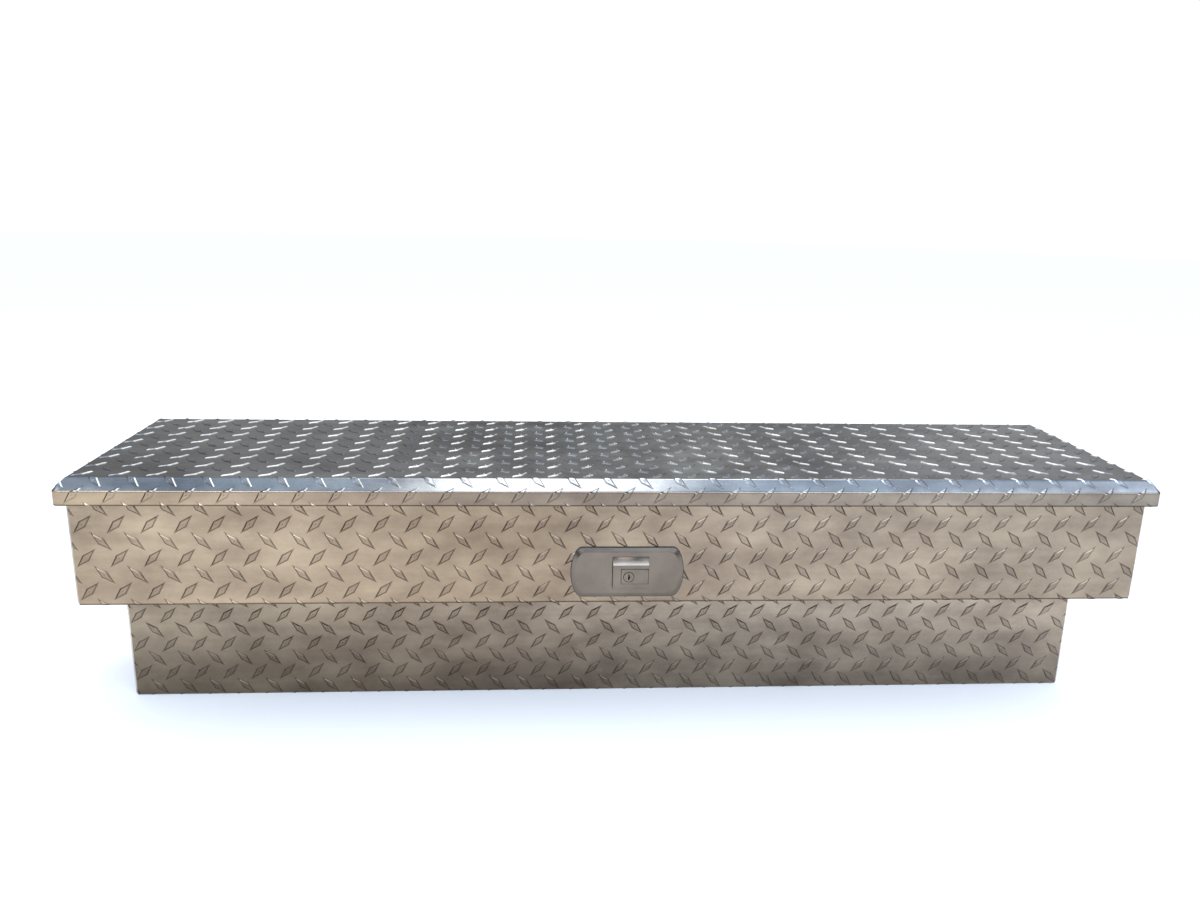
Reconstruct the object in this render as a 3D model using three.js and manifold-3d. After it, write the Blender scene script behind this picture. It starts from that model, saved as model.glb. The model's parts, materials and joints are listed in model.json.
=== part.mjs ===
// Side-rail truck tool box, 60 inch class: a stepped tub of bent tread plate under one hinged lid.
// The upper part of the tub overhangs the lower part, so its step rests on the truck's bed rail.
// Frame: millimetres, +Z up, front faces -Y, origin under the middle of the box at its base.
import * as THREE from "three";
import { mergeVertices } from "three/addons/utils/BufferGeometryUtils.js";
import Module from "manifold-3d";

const wasm = await Module();
wasm.setup();

// ---------- driving dimensions ----------
const SHEET = 1.6; // thickness of every bent sheet
const GAP = 0.3; // air left between pieces that touch
const BEND = 20; // depth of the folded flanges

// lid
const LID_HALF = 770; // half of the lid's length
const LID_DEPTH = 362; // front lip to rear lip
const LID_TOP = 407;
const LID_BEVEL = 15; // 45 degree bevel along the front and both ends
const LIP_HEIGHT = 20;
const LID_CORNER = 8; // radius of the lid's front corners

// hinge
const KNUCKLE_R = 2.9;
const PIN_R = 1.3;
const PIN_CLEARANCE = 0.25;
const HINGE_Z = 370;
const LEAF = 1.2; // thickness of the hinge's leaves
const LEAF_LENGTH = 1500;
const KNUCKLE_COUNT = 21;

// tub, measured from the front lip (depth) and from the base (height)
const TUB_HALF = 761; // outer face of the end caps
const PANEL_HALF = 757; // half length of the long panels between the end caps' bends
const UPPER_FRONT = 17.5;
const LOWER_FRONT = 168.5;
const BACK = 356;
const STEP_Z = 222;
const RIM_Z = 390;
const RIM_FLANGE = 25;
const SEAL_WIDTH = 11;
const SEAL_INSET = 9; // rim edge to the seal
const SEAL_TOP = 405;

// latch
const LATCH_X = 3; // middle of the cover plate, a little right of the box's middle
const PAN = { halfX: 80, halfStraight: 64.5, bottom: 232, top: 305, proud: 5, wall: 1.4, edge: 1.5 };
const BLOCK = { left: -18.5, right: 33, bottom: 246.4, top: 292.5, slopeStart: 282.5, proud: 13 };
const BUTTON = { left: -6.6, right: 31.8, bottom: 255, top: 277, fit: 0.35, proud: 0.8 };
const LOCK = { x: 4, z: 265.5, r: 7.2, fit: 0.35 };
const BLOCK_BACK = 11.5; // block's depth behind the panel's outer face

// operating gear
const CRANK = { half: 22, rodArm: 20, low: 296, high: 299, pinR: 3, swing: 15.8 };
const ROD_R = 2.5;
const STRIKER_X = 600; // each latch is this far from the box's middle
const STRIKER_R = 4;
const STRIKER_Z = 350;
const CLAW = { dx: 20, r: 30, root: 14, thick: 6, from: 119, to: 194 };
const PAWL = { dx: -6, z: 312, tipArm: 13.5, tipAngle: 75, tipR: 3.2, arm: 20 };
const LATCH_GAP = 8; // space between the two plates of a latch
const LATCH_PLATE = 2;

// gas struts: both eyes are equally far from the hinge axis, so a strut turns half as far as the lid
const STRUT_X = 722;
const STRUT_FOOT = { forward: 60, up: -150 }; // from the hinge axis to the eye on the tub
const STRUT_HEAD = { forward: 160, up: 22 }; // from the hinge axis to the eye on the lid
const STRUT_TUBE_R = 7.5;
const STRUT_ROD_R = 3;

// ---------- derived places ----------
const HINGE_Y0 = LID_DEPTH + GAP + KNUCKLE_R;
const HALF_DEPTH = (HINGE_Y0 + KNUCKLE_R) / 2;
const depth = (fromLip) => fromLip - HALF_DEPTH;
const HINGE_Y = depth(HINGE_Y0);
const PANEL_Y = depth(UPPER_FRONT); // outer face of the upper front
const INSIDE_Y = PANEL_Y + SHEET; // inner face of the upper front
const LOWER_Y = depth(LOWER_FRONT);
const BACK_Y = depth(BACK);
const TAU = Math.PI * 2;

// ---------- materials ----------
function paint(color, roughness, metalness) {
  return new THREE.MeshStandardMaterial({ color, roughness, metalness });
}
const TREAD = paint(0xb9b2a8, 0.38, 1);
const STAINLESS = paint(0xc4c3c0, 0.25, 1);
const ZINC = paint(0xa9adb0, 0.42, 1);
const RUBBER = paint(0x17181a, 0.85, 0);
const BLACK_STEEL = paint(0x1d1e20, 0.45, 0.3);

// ---------- solids ----------
function solid(geometry) {
  const bare = geometry.clone();
  bare.deleteAttribute("normal");
  bare.deleteAttribute("uv");
  const merged = mergeVertices(bare, 1e-5);
  return new wasm.Manifold(new wasm.Mesh({
    numProp: 3,
    vertProperties: new Float32Array(merged.attributes.position.array),
    triVerts: new Uint32Array(merged.index.array),
  }));
}

function meshOf(name, body, material) {
  const data = body.getMesh();
  const geometry = new THREE.BufferGeometry();
  geometry.setAttribute("position", new THREE.BufferAttribute(new Float32Array(data.vertProperties), 3));
  geometry.setIndex(new THREE.BufferAttribute(new Uint32Array(data.triVerts), 1));
  geometry.computeVertexNormals();
  const mesh = new THREE.Mesh(geometry, material);
  mesh.name = name;
  return mesh;
}

const join = (first, ...rest) => rest.reduce((sum, item) => sum.add(item), first);
const cut = (first, ...rest) => rest.reduce((left, item) => left.subtract(item), first);

function block(x0, x1, y0, y1, z0, z1) {
  const geometry = new THREE.BoxGeometry(x1 - x0, y1 - y0, z1 - z0);
  geometry.translate((x0 + x1) / 2, (y0 + y1) / 2, (z0 + z1) / 2);
  return solid(geometry);
}

function shapeOf(points) {
  return new THREE.Shape(points.map(([a, b]) => new THREE.Vector2(a, b)));
}

function extrude(shape, from, to, curveSegments = 10) {
  const geometry = new THREE.ExtrudeGeometry(shape, { depth: to - from, bevelEnabled: false, curveSegments });
  geometry.translate(0, 0, from);
  return geometry;
}

// an outline drawn in (y, z) and drawn out along X
function alongX(shape, x0, x1, curveSegments) {
  const geometry = extrude(shape, x0, x1, curveSegments);
  geometry.applyMatrix4(new THREE.Matrix4().set(0, 0, 1, 0, 1, 0, 0, 0, 0, 1, 0, 0, 0, 0, 0, 1));
  return solid(geometry);
}

// an outline drawn in (x, z) and drawn out along Y
function alongY(shape, y0, y1, curveSegments) {
  const geometry = extrude(shape, -y1, -y0, curveSegments);
  geometry.applyMatrix4(new THREE.Matrix4().set(1, 0, 0, 0, 0, 0, -1, 0, 0, 1, 0, 0, 0, 0, 0, 1));
  return solid(geometry);
}

// an outline drawn in (x, y) and drawn out along Z
function alongZ(shape, z0, z1, curveSegments) {
  return solid(extrude(shape, z0, z1, curveSegments));
}

function roundY(x, z, r, y0, y1, sides = 24) {
  const geometry = new THREE.CylinderGeometry(r, r, y1 - y0, sides);
  geometry.translate(x, (y0 + y1) / 2, z);
  return solid(geometry);
}

function roundZ(x, y, r, z0, z1, sides = 20) {
  const geometry = new THREE.CylinderGeometry(r, r, z1 - z0, sides);
  geometry.rotateX(Math.PI / 2);
  geometry.translate(x, y, (z0 + z1) / 2);
  return solid(geometry);
}

function roundX(y, z, r, x0, x1, sides = 20) {
  const geometry = new THREE.CylinderGeometry(r, r, x1 - x0, sides);
  geometry.rotateZ(Math.PI / 2);
  geometry.translate((x0 + x1) / 2, y, z);
  return solid(geometry);
}

// a path of straights and rounded bends, with steps only at its bends
class BentRoute extends THREE.Curve {
  constructor(corners, bendR) {
    super();
    const at = corners.map((p) => new THREE.Vector3(...p));
    this.stops = [at[0]];
    for (let i = 1; i < at.length - 1; i += 1) {
      const before = at[i - 1].clone().sub(at[i]).setLength(bendR).add(at[i]);
      const after = at[i + 1].clone().sub(at[i]).setLength(bendR).add(at[i]);
      this.stops.push(...new THREE.QuadraticBezierCurve3(before, at[i], after).getPoints(4));
    }
    this.stops.push(at[at.length - 1]);
  }

  getPoint(t) {
    const last = this.stops.length - 1;
    const i = Math.min(Math.floor(t * last + 1e-6), last - 1);
    return this.stops[i].clone().lerp(this.stops[i + 1], t * last - i);
  }

  getPointAt(u) {
    return this.getPoint(u);
  }

  getSpacedPoints() {
    return this.stops;
  }

  getTangentAt(u) {
    const last = this.stops.length - 1;
    const i = Math.round(u * last);
    const ahead = this.stops[Math.min(i + 1, last)];
    const behind = this.stops[Math.max(i - 1, 0)];
    const along = ahead.clone().sub(this.stops[i]).normalize();
    return along.add(this.stops[i].clone().sub(behind).normalize()).normalize();
  }
}

// a wire or rod whose middle line runs through the given corners, with its bends rounded
function wire(corners, r, bendR, sides = 10) {
  const route = new BentRoute(corners, bendR);
  const ring = Array.from({ length: sides }, (_, k) => {
    const angle = (k / sides) * TAU;
    return [r * Math.cos(angle), r * Math.sin(angle)];
  });
  const steps = route.stops.length - 1;
  return solid(new THREE.ExtrudeGeometry(shapeOf(ring), { steps, extrudePath: route, bevelEnabled: false }));
}

function roundedBox(halfX, y0, y1, r) {
  const shape = new THREE.Shape();
  shape.moveTo(-halfX, y0 + r);
  shape.absarc(-halfX + r, y0 + r, r, Math.PI, 1.5 * Math.PI);
  shape.absarc(halfX - r, y0 + r, r, 1.5 * Math.PI, 2 * Math.PI);
  shape.lineTo(halfX, y1);
  shape.lineTo(-halfX, y1);
  return shape;
}

// ---------- tub ----------
function frontPanel() {
  const profile = shapeOf([
    [PANEL_Y, STEP_Z], [INSIDE_Y, STEP_Z], [INSIDE_Y, RIM_Z - SHEET], [PANEL_Y, RIM_Z - SHEET],
  ]);
  const wall = alongX(profile, -PANEL_HALF, PANEL_HALF);
  const flangeHalf = TUB_HALF - BEND - 2 * GAP;
  const rim = join(
    block(-flangeHalf, flangeHalf, PANEL_Y, PANEL_Y + RIM_FLANGE, RIM_Z - SHEET, RIM_Z),
    block(-PANEL_HALF, PANEL_HALF, PANEL_Y, INSIDE_Y, RIM_Z - SHEET, RIM_Z),
  );
  const hole = blockHole(PANEL_Y - 1, INSIDE_Y + 1, 4);
  return cut(join(wall, rim), hole);
}

// the step under the overhang and the lower front wall, one bent sheet with a weld flange at each edge
function stepPanel() {
  const flangeY = INSIDE_Y + GAP;
  const weldFlange = 14;
  const profile = shapeOf([
    [flangeY, STEP_Z], [LOWER_Y, STEP_Z], [LOWER_Y, 0], [LOWER_Y + BEND, 0], [LOWER_Y + BEND, SHEET],
    [LOWER_Y + SHEET, SHEET], [LOWER_Y + SHEET, STEP_Z + SHEET], [flangeY + SHEET, STEP_Z + SHEET],
    [flangeY + SHEET, STEP_Z + weldFlange], [flangeY, STEP_Z + weldFlange],
  ]);
  return alongX(profile, -PANEL_HALF, PANEL_HALF);
}

function floorPanel() {
  const front = LOWER_Y + BEND + GAP;
  const back = BACK_Y - SHEET - GAP;
  const upturn = 16;
  const profile = shapeOf([
    [front, 0], [back, 0], [back, upturn], [back - SHEET, upturn], [back - SHEET, SHEET],
    [front, SHEET],
  ]);
  return alongX(profile, -PANEL_HALF, PANEL_HALF);
}

function backPanel() {
  const wall = block(-PANEL_HALF, PANEL_HALF, BACK_Y - SHEET, BACK_Y, 0, RIM_Z);
  const flangeHalf = TUB_HALF - BEND - 2 * GAP;
  const rim = block(-flangeHalf, flangeHalf, BACK_Y - RIM_FLANGE, BACK_Y, RIM_Z - SHEET, RIM_Z);
  return join(wall, rim);
}

// the L-shaped outline of an end cap, drawn in by a margin from the long panels' outer faces
function endOutline(margin, top) {
  return shapeOf([
    [PANEL_Y + margin, STEP_Z + margin], [LOWER_Y + margin, STEP_Z + margin],
    [LOWER_Y + margin, margin], [BACK_Y - margin, margin], [BACK_Y - margin, top],
    [PANEL_Y + margin, top],
  ]);
}

function endCap(side) {
  const wrap = SHEET + GAP;
  const [near, far] = side < 0 ? [-TUB_HALF, -TUB_HALF + BEND] : [TUB_HALF - BEND, TUB_HALF];
  const outer = alongX(endOutline(wrap, RIM_Z), near, far);
  const [inNear, inFar] = side < 0 ? [near + SHEET, far + 1] : [near - 1, far - SHEET];
  const inner = alongX(endOutline(wrap + SHEET, RIM_Z - SHEET), inNear, inFar);
  // the step panel's and floor panel's weld flanges pass through notches in the cap's flanges
  const reach = [side * (TUB_HALF - BEND - 1), side * (PANEL_HALF + GAP)].sort((a, b) => a - b);
  const frontNotch = block(...reach, PANEL_Y, INSIDE_Y + 3 * SHEET, STEP_Z, STEP_Z + BEND);
  const floorNotch = block(...reach, BACK_Y - 5 * SHEET, BACK_Y, 0, BEND);
  return cut(outer, inner, frontNotch, floorNotch);
}

function rimSeal() {
  const y0 = PANEL_Y + SEAL_INSET;
  const y1 = BACK_Y - SEAL_INSET;
  const halfX = TUB_HALF - SEAL_INSET;
  const outer = block(-halfX, halfX, y0, y1, RIM_Z + GAP, SEAL_TOP);
  const w = SEAL_WIDTH;
  return cut(outer, block(-halfX + w, halfX - w, y0 + w, y1 - w, RIM_Z, SEAL_TOP + 1));
}

// ---------- lid ----------
function lidShape(inset, low) {
  const top = LID_TOP - inset;
  const front = depth(0) + inset;
  const rear = depth(LID_DEPTH) - inset;
  const half = LID_HALF - inset;
  const bevel = LID_BEVEL - inset * (2 - Math.SQRT2);
  const side = alongX(shapeOf([
    [front, low], [rear, low], [rear, top], [front + bevel, top], [front, top - bevel],
  ]), -half, half);
  const ends = alongY(shapeOf([
    [-half, low], [half, low], [half, top - bevel], [half - bevel, top], [-half + bevel, top],
    [-half, top - bevel],
  ]), front - 1, rear + 1);
  const plan = alongZ(roundedBox(half, front, rear, LID_CORNER - inset), low - 1, top + 1, 8);
  return side.intersect(ends).intersect(plan);
}

function lidSkin() {
  const low = LID_TOP - LID_BEVEL - LIP_HEIGHT;
  return cut(lidShape(0, low), lidShape(SHEET, low - 1));
}

// a hat channel under the middle of the lid
function lidStiffener() {
  const top = LID_TOP - SHEET - GAP;
  const y = depth(LID_DEPTH / 2);
  const crown = 30;
  const brim = 52;
  const drop = 18;
  const profile = shapeOf([
    [y - brim, top], [y - brim, top - SHEET], [y - crown - SHEET, top - SHEET],
    [y - crown - SHEET + 4, top - drop], [y + crown + SHEET - 4, top - drop],
    [y + crown + SHEET, top - SHEET], [y + brim, top - SHEET], [y + brim, top],
    [y + crown, top], [y + crown - 4, top - drop + SHEET], [y - crown + 4, top - drop + SHEET],
    [y - crown, top],
  ]);
  return alongX(profile, -680, 680);
}

// ---------- hinge ----------
function knuckles(first) {
  const pitch = LEAF_LENGTH / KNUCKLE_COUNT;
  const rolls = [];
  for (let i = first; i < KNUCKLE_COUNT; i += 2) {
    const x0 = -LEAF_LENGTH / 2 + i * pitch + GAP;
    rolls.push(roundX(HINGE_Y, HINGE_Z, KNUCKLE_R, x0, x0 + pitch - 2 * GAP, 12));
  }
  return rolls;
}

// the leaf runs from the knuckles up or down; between its own knuckles it is cut back
function hingeLeaf(first, z0, z1) {
  const y0 = HINGE_Y - KNUCKLE_R;
  const pitch = LEAF_LENGTH / KNUCKLE_COUNT;
  const bore = roundX(HINGE_Y, HINGE_Z, PIN_R + PIN_CLEARANCE, -LEAF_LENGTH, LEAF_LENGTH, 12);
  const leaf = block(-LEAF_LENGTH / 2, LEAF_LENGTH / 2, y0, y0 + LEAF, z0, z1);
  const reliefs = [];
  for (let i = 1 - first; i < KNUCKLE_COUNT; i += 2) {
    const x0 = -LEAF_LENGTH / 2 + i * pitch;
    const room = KNUCKLE_R + 2 * GAP;
    reliefs.push(block(x0 - GAP, x0 + pitch + GAP, y0 - 1, y0 + 3, HINGE_Z - room, HINGE_Z + room));
  }
  return cut(join(cut(leaf, ...reliefs), ...knuckles(first)), bore);
}

const hingePin = () => roundX(HINGE_Y, HINGE_Z, PIN_R, -LEAF_LENGTH / 2 - 2, LEAF_LENGTH / 2 + 2, 12);

const hingeSpacer = () =>
  block(-LEAF_LENGTH / 2, LEAF_LENGTH / 2, BACK_Y + GAP, depth(LID_DEPTH), 340, 365);

// ---------- latch front ----------
// the plate's outline, a bar with half ellipses for ends
function panOutline(inset) {
  const middle = (PAN.bottom + PAN.top) / 2;
  const halfHeight = (PAN.top - PAN.bottom) / 2 - inset;
  const halfEnd = PAN.halfX - PAN.halfStraight - inset;
  const shape = new THREE.Shape();
  shape.absellipse(LATCH_X + PAN.halfStraight, middle, halfEnd, halfHeight, -Math.PI / 2, Math.PI / 2);
  shape.absellipse(LATCH_X - PAN.halfStraight, middle, halfEnd, halfHeight, Math.PI / 2, 1.5 * Math.PI);
  return shape;
}

const blockHole = (y0, y1, fit) =>
  block(BLOCK.left - fit, BLOCK.right + fit, y0, y1, BLOCK.bottom - fit, BLOCK.top + fit);

function latchGasket() {
  const sheet = alongY(panOutline(-1), PANEL_Y - 1.5 - GAP, PANEL_Y - GAP);
  return cut(sheet, blockHole(PANEL_Y - 4, PANEL_Y, 3));
}

function latchPan() {
  const back = PANEL_Y - 1.5 - 2 * GAP;
  const front = PANEL_Y - PAN.proud;
  const outer = join(
    alongY(panOutline(0), front + PAN.edge, back),
    alongY(panOutline(PAN.edge), front, front + PAN.edge + 0.1),
  );
  const hollow = alongY(panOutline(PAN.wall + PAN.edge), front + PAN.wall, back + 1);
  return cut(outer, hollow, blockHole(front - 1, back + 1, GAP));
}

function buttonHousing() {
  const front = PANEL_Y - BLOCK.proud;
  const back = PANEL_Y + BLOCK_BACK;
  const profile = shapeOf([
    [front, BLOCK.bottom], [back, BLOCK.bottom], [back, BLOCK.top], [PANEL_Y - PAN.proud, BLOCK.top],
    [front, BLOCK.slopeStart],
  ]);
  const body = alongX(profile, BLOCK.left, BLOCK.right);
  const { left, right, bottom, top, fit } = BUTTON;
  const way = block(left - fit, right + fit, front - 1, back + 1, bottom - fit, top + fit);
  return cut(body, way);
}

const BLOCK_MID = (BLOCK.left + BLOCK.right) / 2;
const YOKE_FRONT = PANEL_Y + BLOCK_BACK + GAP;
const YOKE_BACK = YOKE_FRONT + 3;
const YOKE_HALF = 11; // the yoke reaches both cranks' noses and stays clear of their arms

function pushButton() {
  const front = PANEL_Y - BLOCK.proud - BUTTON.proud;
  const body = block(BUTTON.left, BUTTON.right, front, YOKE_BACK, BUTTON.bottom, BUTTON.top);
  const yoke = block(
    BLOCK_MID - YOKE_HALF, BLOCK_MID + YOKE_HALF, YOKE_FRONT, YOKE_BACK, BUTTON.bottom, CRANK.high + 1,
  );
  const bore = roundY(LOCK.x, LOCK.z, LOCK.r + LOCK.fit, front - 1, YOKE_BACK + 1, 32);
  return cut(join(body, yoke), bore);
}

function lockCylinder() {
  const front = PANEL_Y - BLOCK.proud - BUTTON.proud - 0.6;
  const plug = roundY(LOCK.x, LOCK.z, LOCK.r, front, YOKE_BACK - 1, 32);
  const keySlot = block(LOCK.x - 0.9, LOCK.x + 0.9, front - 1, front + 9, LOCK.z - 4, LOCK.z + 4);
  const keyNotch = block(LOCK.x - 0.1, LOCK.x + 1.9, front - 1, front + 9, LOCK.z - 1.6, LOCK.z + 0.8);
  return cut(plug, keySlot, keyNotch);
}

// ---------- operating gear behind the panel ----------
const CRANK_Y = YOKE_BACK + GAP + 5;
const crankX = (side) => BLOCK_MID + side * (CRANK.half + 8);

// the arm's end on the rod, half the swing short of straight back, so it passes the middle of its arc
function rodEye(side) {
  const half = THREE.MathUtils.degToRad(CRANK.swing / 2);
  return [crankX(side) - side * CRANK.rodArm * Math.sin(half), CRANK_Y + CRANK.rodArm * Math.cos(half)];
}

const ROD_Y = rodEye(1)[1];

// a stadium-shaped link between two round ends
function link(a, b, ra, rb) {
  const angle = Math.atan2(b[1] - a[1], b[0] - a[0]);
  const shape = new THREE.Shape();
  shape.absarc(a[0], a[1], ra, angle + Math.PI / 2, angle + 1.5 * Math.PI);
  shape.absarc(b[0], b[1], rb, angle - Math.PI / 2, angle + Math.PI / 2);
  return shape;
}

function gearPlate() {
  const y0 = INSIDE_Y + GAP;
  const shelfBack = ROD_Y + 8;
  const shelfZ = CRANK.high + 3;
  const profile = shapeOf([
    [y0, shelfZ], [shelfBack, shelfZ], [shelfBack, shelfZ + 2], [y0 + 2, shelfZ + 2],
    [y0 + 2, shelfZ + 26], [y0, shelfZ + 26],
  ]);
  const plate = alongX(profile, BLOCK_MID - 50, BLOCK_MID + 50);
  const pinHole = CRANK.pinR + GAP;
  const holes = [-1, 1].map((side) => roundZ(crankX(side), CRANK_Y, pinHole, shelfZ - 1, shelfZ + 3));
  const slots = [-1, 1].map((side) => block(
    rodEye(side)[0] - 11, rodEye(side)[0] + 11, ROD_Y - 5, ROD_Y + 5, shelfZ - 1, shelfZ + 3,
  ));
  return cut(plate, ...holes, ...slots);
}

function crankPin(side) {
  const x = crankX(side);
  const shelfTop = CRANK.high + 5;
  return join(
    roundZ(x, CRANK_Y, CRANK.pinR, CRANK.low - 2, shelfTop + 2),
    roundZ(x, CRANK_Y, CRANK.pinR + 2, shelfTop + GAP, shelfTop + 2.5),
    roundZ(x, CRANK_Y, CRANK.pinR + 2, CRANK.low - 3, CRANK.low - GAP),
  );
}

function crank(side) {
  const pivot = [crankX(side), CRANK_Y];
  const nose = [pivot[0] - side * CRANK.half, CRANK_Y];
  const eye = rodEye(side);
  const arms = join(
    alongZ(link(pivot, nose, 7, 3), CRANK.low, CRANK.high),
    alongZ(link(pivot, eye, 7, 6), CRANK.low, CRANK.high),
    roundZ(nose[0], nose[1], 5, CRANK.low, CRANK.high),
  );
  return cut(
    arms,
    roundZ(pivot[0], pivot[1], CRANK.pinR + GAP, CRANK.low - 1, CRANK.high + 1),
    roundZ(eye[0], eye[1], ROD_R + 0.7, CRANK.low - 1, CRANK.high + 1),
  );
}

// ---------- rotary latches ----------
const BODY_BACK = ROD_Y + ROD_R + 2.5; // back face of the latch's front plate
const PLATE_BACK = BODY_BACK + LATCH_GAP; // front face of its rear plate
const CLAW_Y0 = BODY_BACK + (LATCH_GAP - CLAW.thick) / 2;
const CLAW_Y1 = CLAW_Y0 + CLAW.thick;
const latchX = (side, dx) => side * (STRIKER_X + dx);

function pawlEye(side) {
  const half = THREE.MathUtils.degToRad(CRANK.swing / 2);
  return [latchX(side, PAWL.dx - PAWL.arm * Math.sin(half)), PAWL.z - PAWL.arm * Math.cos(half)];
}

function latchOutline(side) {
  const inner = latchX(side, -20);
  const outer = latchX(side, 54);
  return [Math.min(inner, outer), Math.max(inner, outer)];
}

function strikerSlot(side, y0, y1) {
  const x = latchX(side, 0);
  return block(x - STRIKER_R - 2, x + STRIKER_R + 2, y0, y1, STRIKER_Z - STRIKER_R - 3, RIM_Z);
}

function pinHoles(side, y0, y1) {
  return [
    roundY(latchX(side, CLAW.dx), STRIKER_Z, 4 + GAP, y0, y1),
    roundY(latchX(side, PAWL.dx), PAWL.z, 3 + GAP, y0, y1),
  ];
}

const LATCH_LOW = 302;
const LATCH_HIGH = 384;

function latchBody(side) {
  const y0 = INSIDE_Y + GAP;
  const [x0, x1] = latchOutline(side);
  const front = BODY_BACK - LATCH_PLATE;
  const profile = shapeOf([
    [y0, LATCH_LOW], [BODY_BACK, LATCH_LOW], [BODY_BACK, LATCH_HIGH], [front, LATCH_HIGH],
    [front, LATCH_LOW + LATCH_PLATE], [y0 + LATCH_PLATE, LATCH_LOW + LATCH_PLATE],
    [y0 + LATCH_PLATE, LATCH_LOW + 45], [y0, LATCH_LOW + 45],
  ]);
  const range = [front - 1, BODY_BACK + 1];
  return cut(alongX(profile, x0, x1), strikerSlot(side, ...range), ...pinHoles(side, ...range));
}

function latchRearPlate(side) {
  const [x0, x1] = latchOutline(side);
  const plate = block(x0, x1, PLATE_BACK, PLATE_BACK + LATCH_PLATE, LATCH_LOW, LATCH_HIGH);
  const range = [PLATE_BACK - 1, PLATE_BACK + LATCH_PLATE + 1];
  return cut(plate, strikerSlot(side, ...range), ...pinHoles(side, ...range));
}

function latchPin(side, dx, z, r) {
  const x = latchX(side, dx);
  const front = BODY_BACK - LATCH_PLATE;
  const back = PLATE_BACK + LATCH_PLATE;
  return join(
    roundY(x, z, r, front - 1.8, back + 1.8),
    roundY(x, z, r + 2, front - 2, front - GAP),
    roundY(x, z, r + 2, back + GAP, back + 2),
  );
}

// a disc with a wide throat: the striker bar leaves upwards when the claw is open
function claw(side) {
  const x = latchX(side, CLAW.dx);
  const mirror = (degrees) => THREE.MathUtils.degToRad(side > 0 ? degrees : 180 - degrees);
  const disc = roundY(x, STRIKER_Z, CLAW.r, CLAW_Y0, CLAW_Y1, 48);
  const throat = new THREE.Shape();
  const reach = CLAW.r * 1.6;
  const [from, to] = [mirror(CLAW.from), mirror(CLAW.to)];
  const clockwise = side < 0;
  throat.moveTo(x + CLAW.root * Math.cos(from), STRIKER_Z + CLAW.root * Math.sin(from));
  throat.lineTo(x + reach * Math.cos(from), STRIKER_Z + reach * Math.sin(from));
  throat.lineTo(x + reach * Math.cos(to), STRIKER_Z + reach * Math.sin(to));
  throat.absarc(x, STRIKER_Z, CLAW.root, to, from, !clockwise);
  const bore = roundY(x, STRIKER_Z, 4 + GAP, CLAW_Y0 - 1, CLAW_Y1 + 1);
  return cut(disc, alongY(throat, CLAW_Y0 - 1, CLAW_Y1 + 1), bore);
}

function pawl(side) {
  const pivot = [latchX(side, PAWL.dx), PAWL.z];
  const angle = THREE.MathUtils.degToRad(PAWL.tipAngle);
  const tip = [pivot[0] + side * PAWL.tipArm * Math.cos(angle), pivot[1] + PAWL.tipArm * Math.sin(angle)];
  const eye = pawlEye(side);
  const arms = join(
    alongY(link(pivot, tip, 6.5, PAWL.tipR), CLAW_Y0, CLAW_Y1),
    alongY(link(pivot, eye, 6.5, 6.5), CLAW_Y0, CLAW_Y1),
  );
  return cut(
    arms,
    roundY(pivot[0], pivot[1], 3 + GAP, CLAW_Y0 - 1, CLAW_Y1 + 1),
    roundY(eye[0], eye[1], ROD_R + 0.7, CLAW_Y0 - 1, CLAW_Y1 + 1),
  );
}

function rod(side) {
  const [crankEyeX] = rodEye(side);
  const [pawlEyeX, pawlEyeZ] = pawlEye(side);
  return wire([
    [crankEyeX, ROD_Y, CRANK.high + 2.5], [crankEyeX, ROD_Y, pawlEyeZ],
    [pawlEyeX, ROD_Y, pawlEyeZ], [pawlEyeX, CLAW_Y1 + 3, pawlEyeZ],
  ], ROD_R, 3);
}

// a nylon clip that keeps the rod from rattling
function rodGuide(side) {
  const x = side * (STRIKER_X / 2);
  const y0 = INSIDE_Y + GAP;
  const z = pawlEye(side)[1];
  const foot = block(x - 9, x + 9, y0, y0 + 3, z - 14, z + 14);
  const stem = block(x - 6, x + 6, y0, ROD_Y, z - 5, z + 5);
  const eye = roundX(ROD_Y, z, 6, x - 6, x + 6);
  return cut(join(foot, stem, eye), roundX(ROD_Y, z, ROD_R + 0.5, x - 8, x + 8));
}

function striker(side) {
  const x = latchX(side, 0);
  const top = LID_TOP - SHEET - GAP;
  const middle = (BODY_BACK - LATCH_PLATE + PLATE_BACK + LATCH_PLATE) / 2;
  const spread = 14.5;
  const loop = wire([
    [x, middle - spread, top - 1], [x, middle - spread, STRIKER_Z],
    [x, middle + spread, STRIKER_Z], [x, middle + spread, top - 1],
  ], STRIKER_R, 5, 12);
  return join(loop, block(x - 22, x + 22, middle - spread - 9, middle + spread + 9, top - 2.5, top));
}

// ---------- gas struts ----------
const foot = [HINGE_Y - STRUT_FOOT.forward, HINGE_Z + STRUT_FOOT.up];
const head = [HINGE_Y - STRUT_HEAD.forward, HINGE_Z + STRUT_HEAD.up];
const STRUT_LENGTH = Math.hypot(head[0] - foot[0], head[1] - foot[1]);
const STUD_R = 4;

// a profile of radius against distance along the strut, turned and laid from the foot to the head
function strutLathe(profile, x, sides) {
  const points = profile.map(([r, s]) => new THREE.Vector2(r, s));
  const geometry = new THREE.LatheGeometry(points, sides);
  const lean = Math.atan2(head[0] - foot[0], head[1] - foot[1]);
  geometry.rotateX(Math.PI / 2 - lean);
  geometry.translate(x, foot[0], foot[1]);
  return solid(geometry);
}

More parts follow.
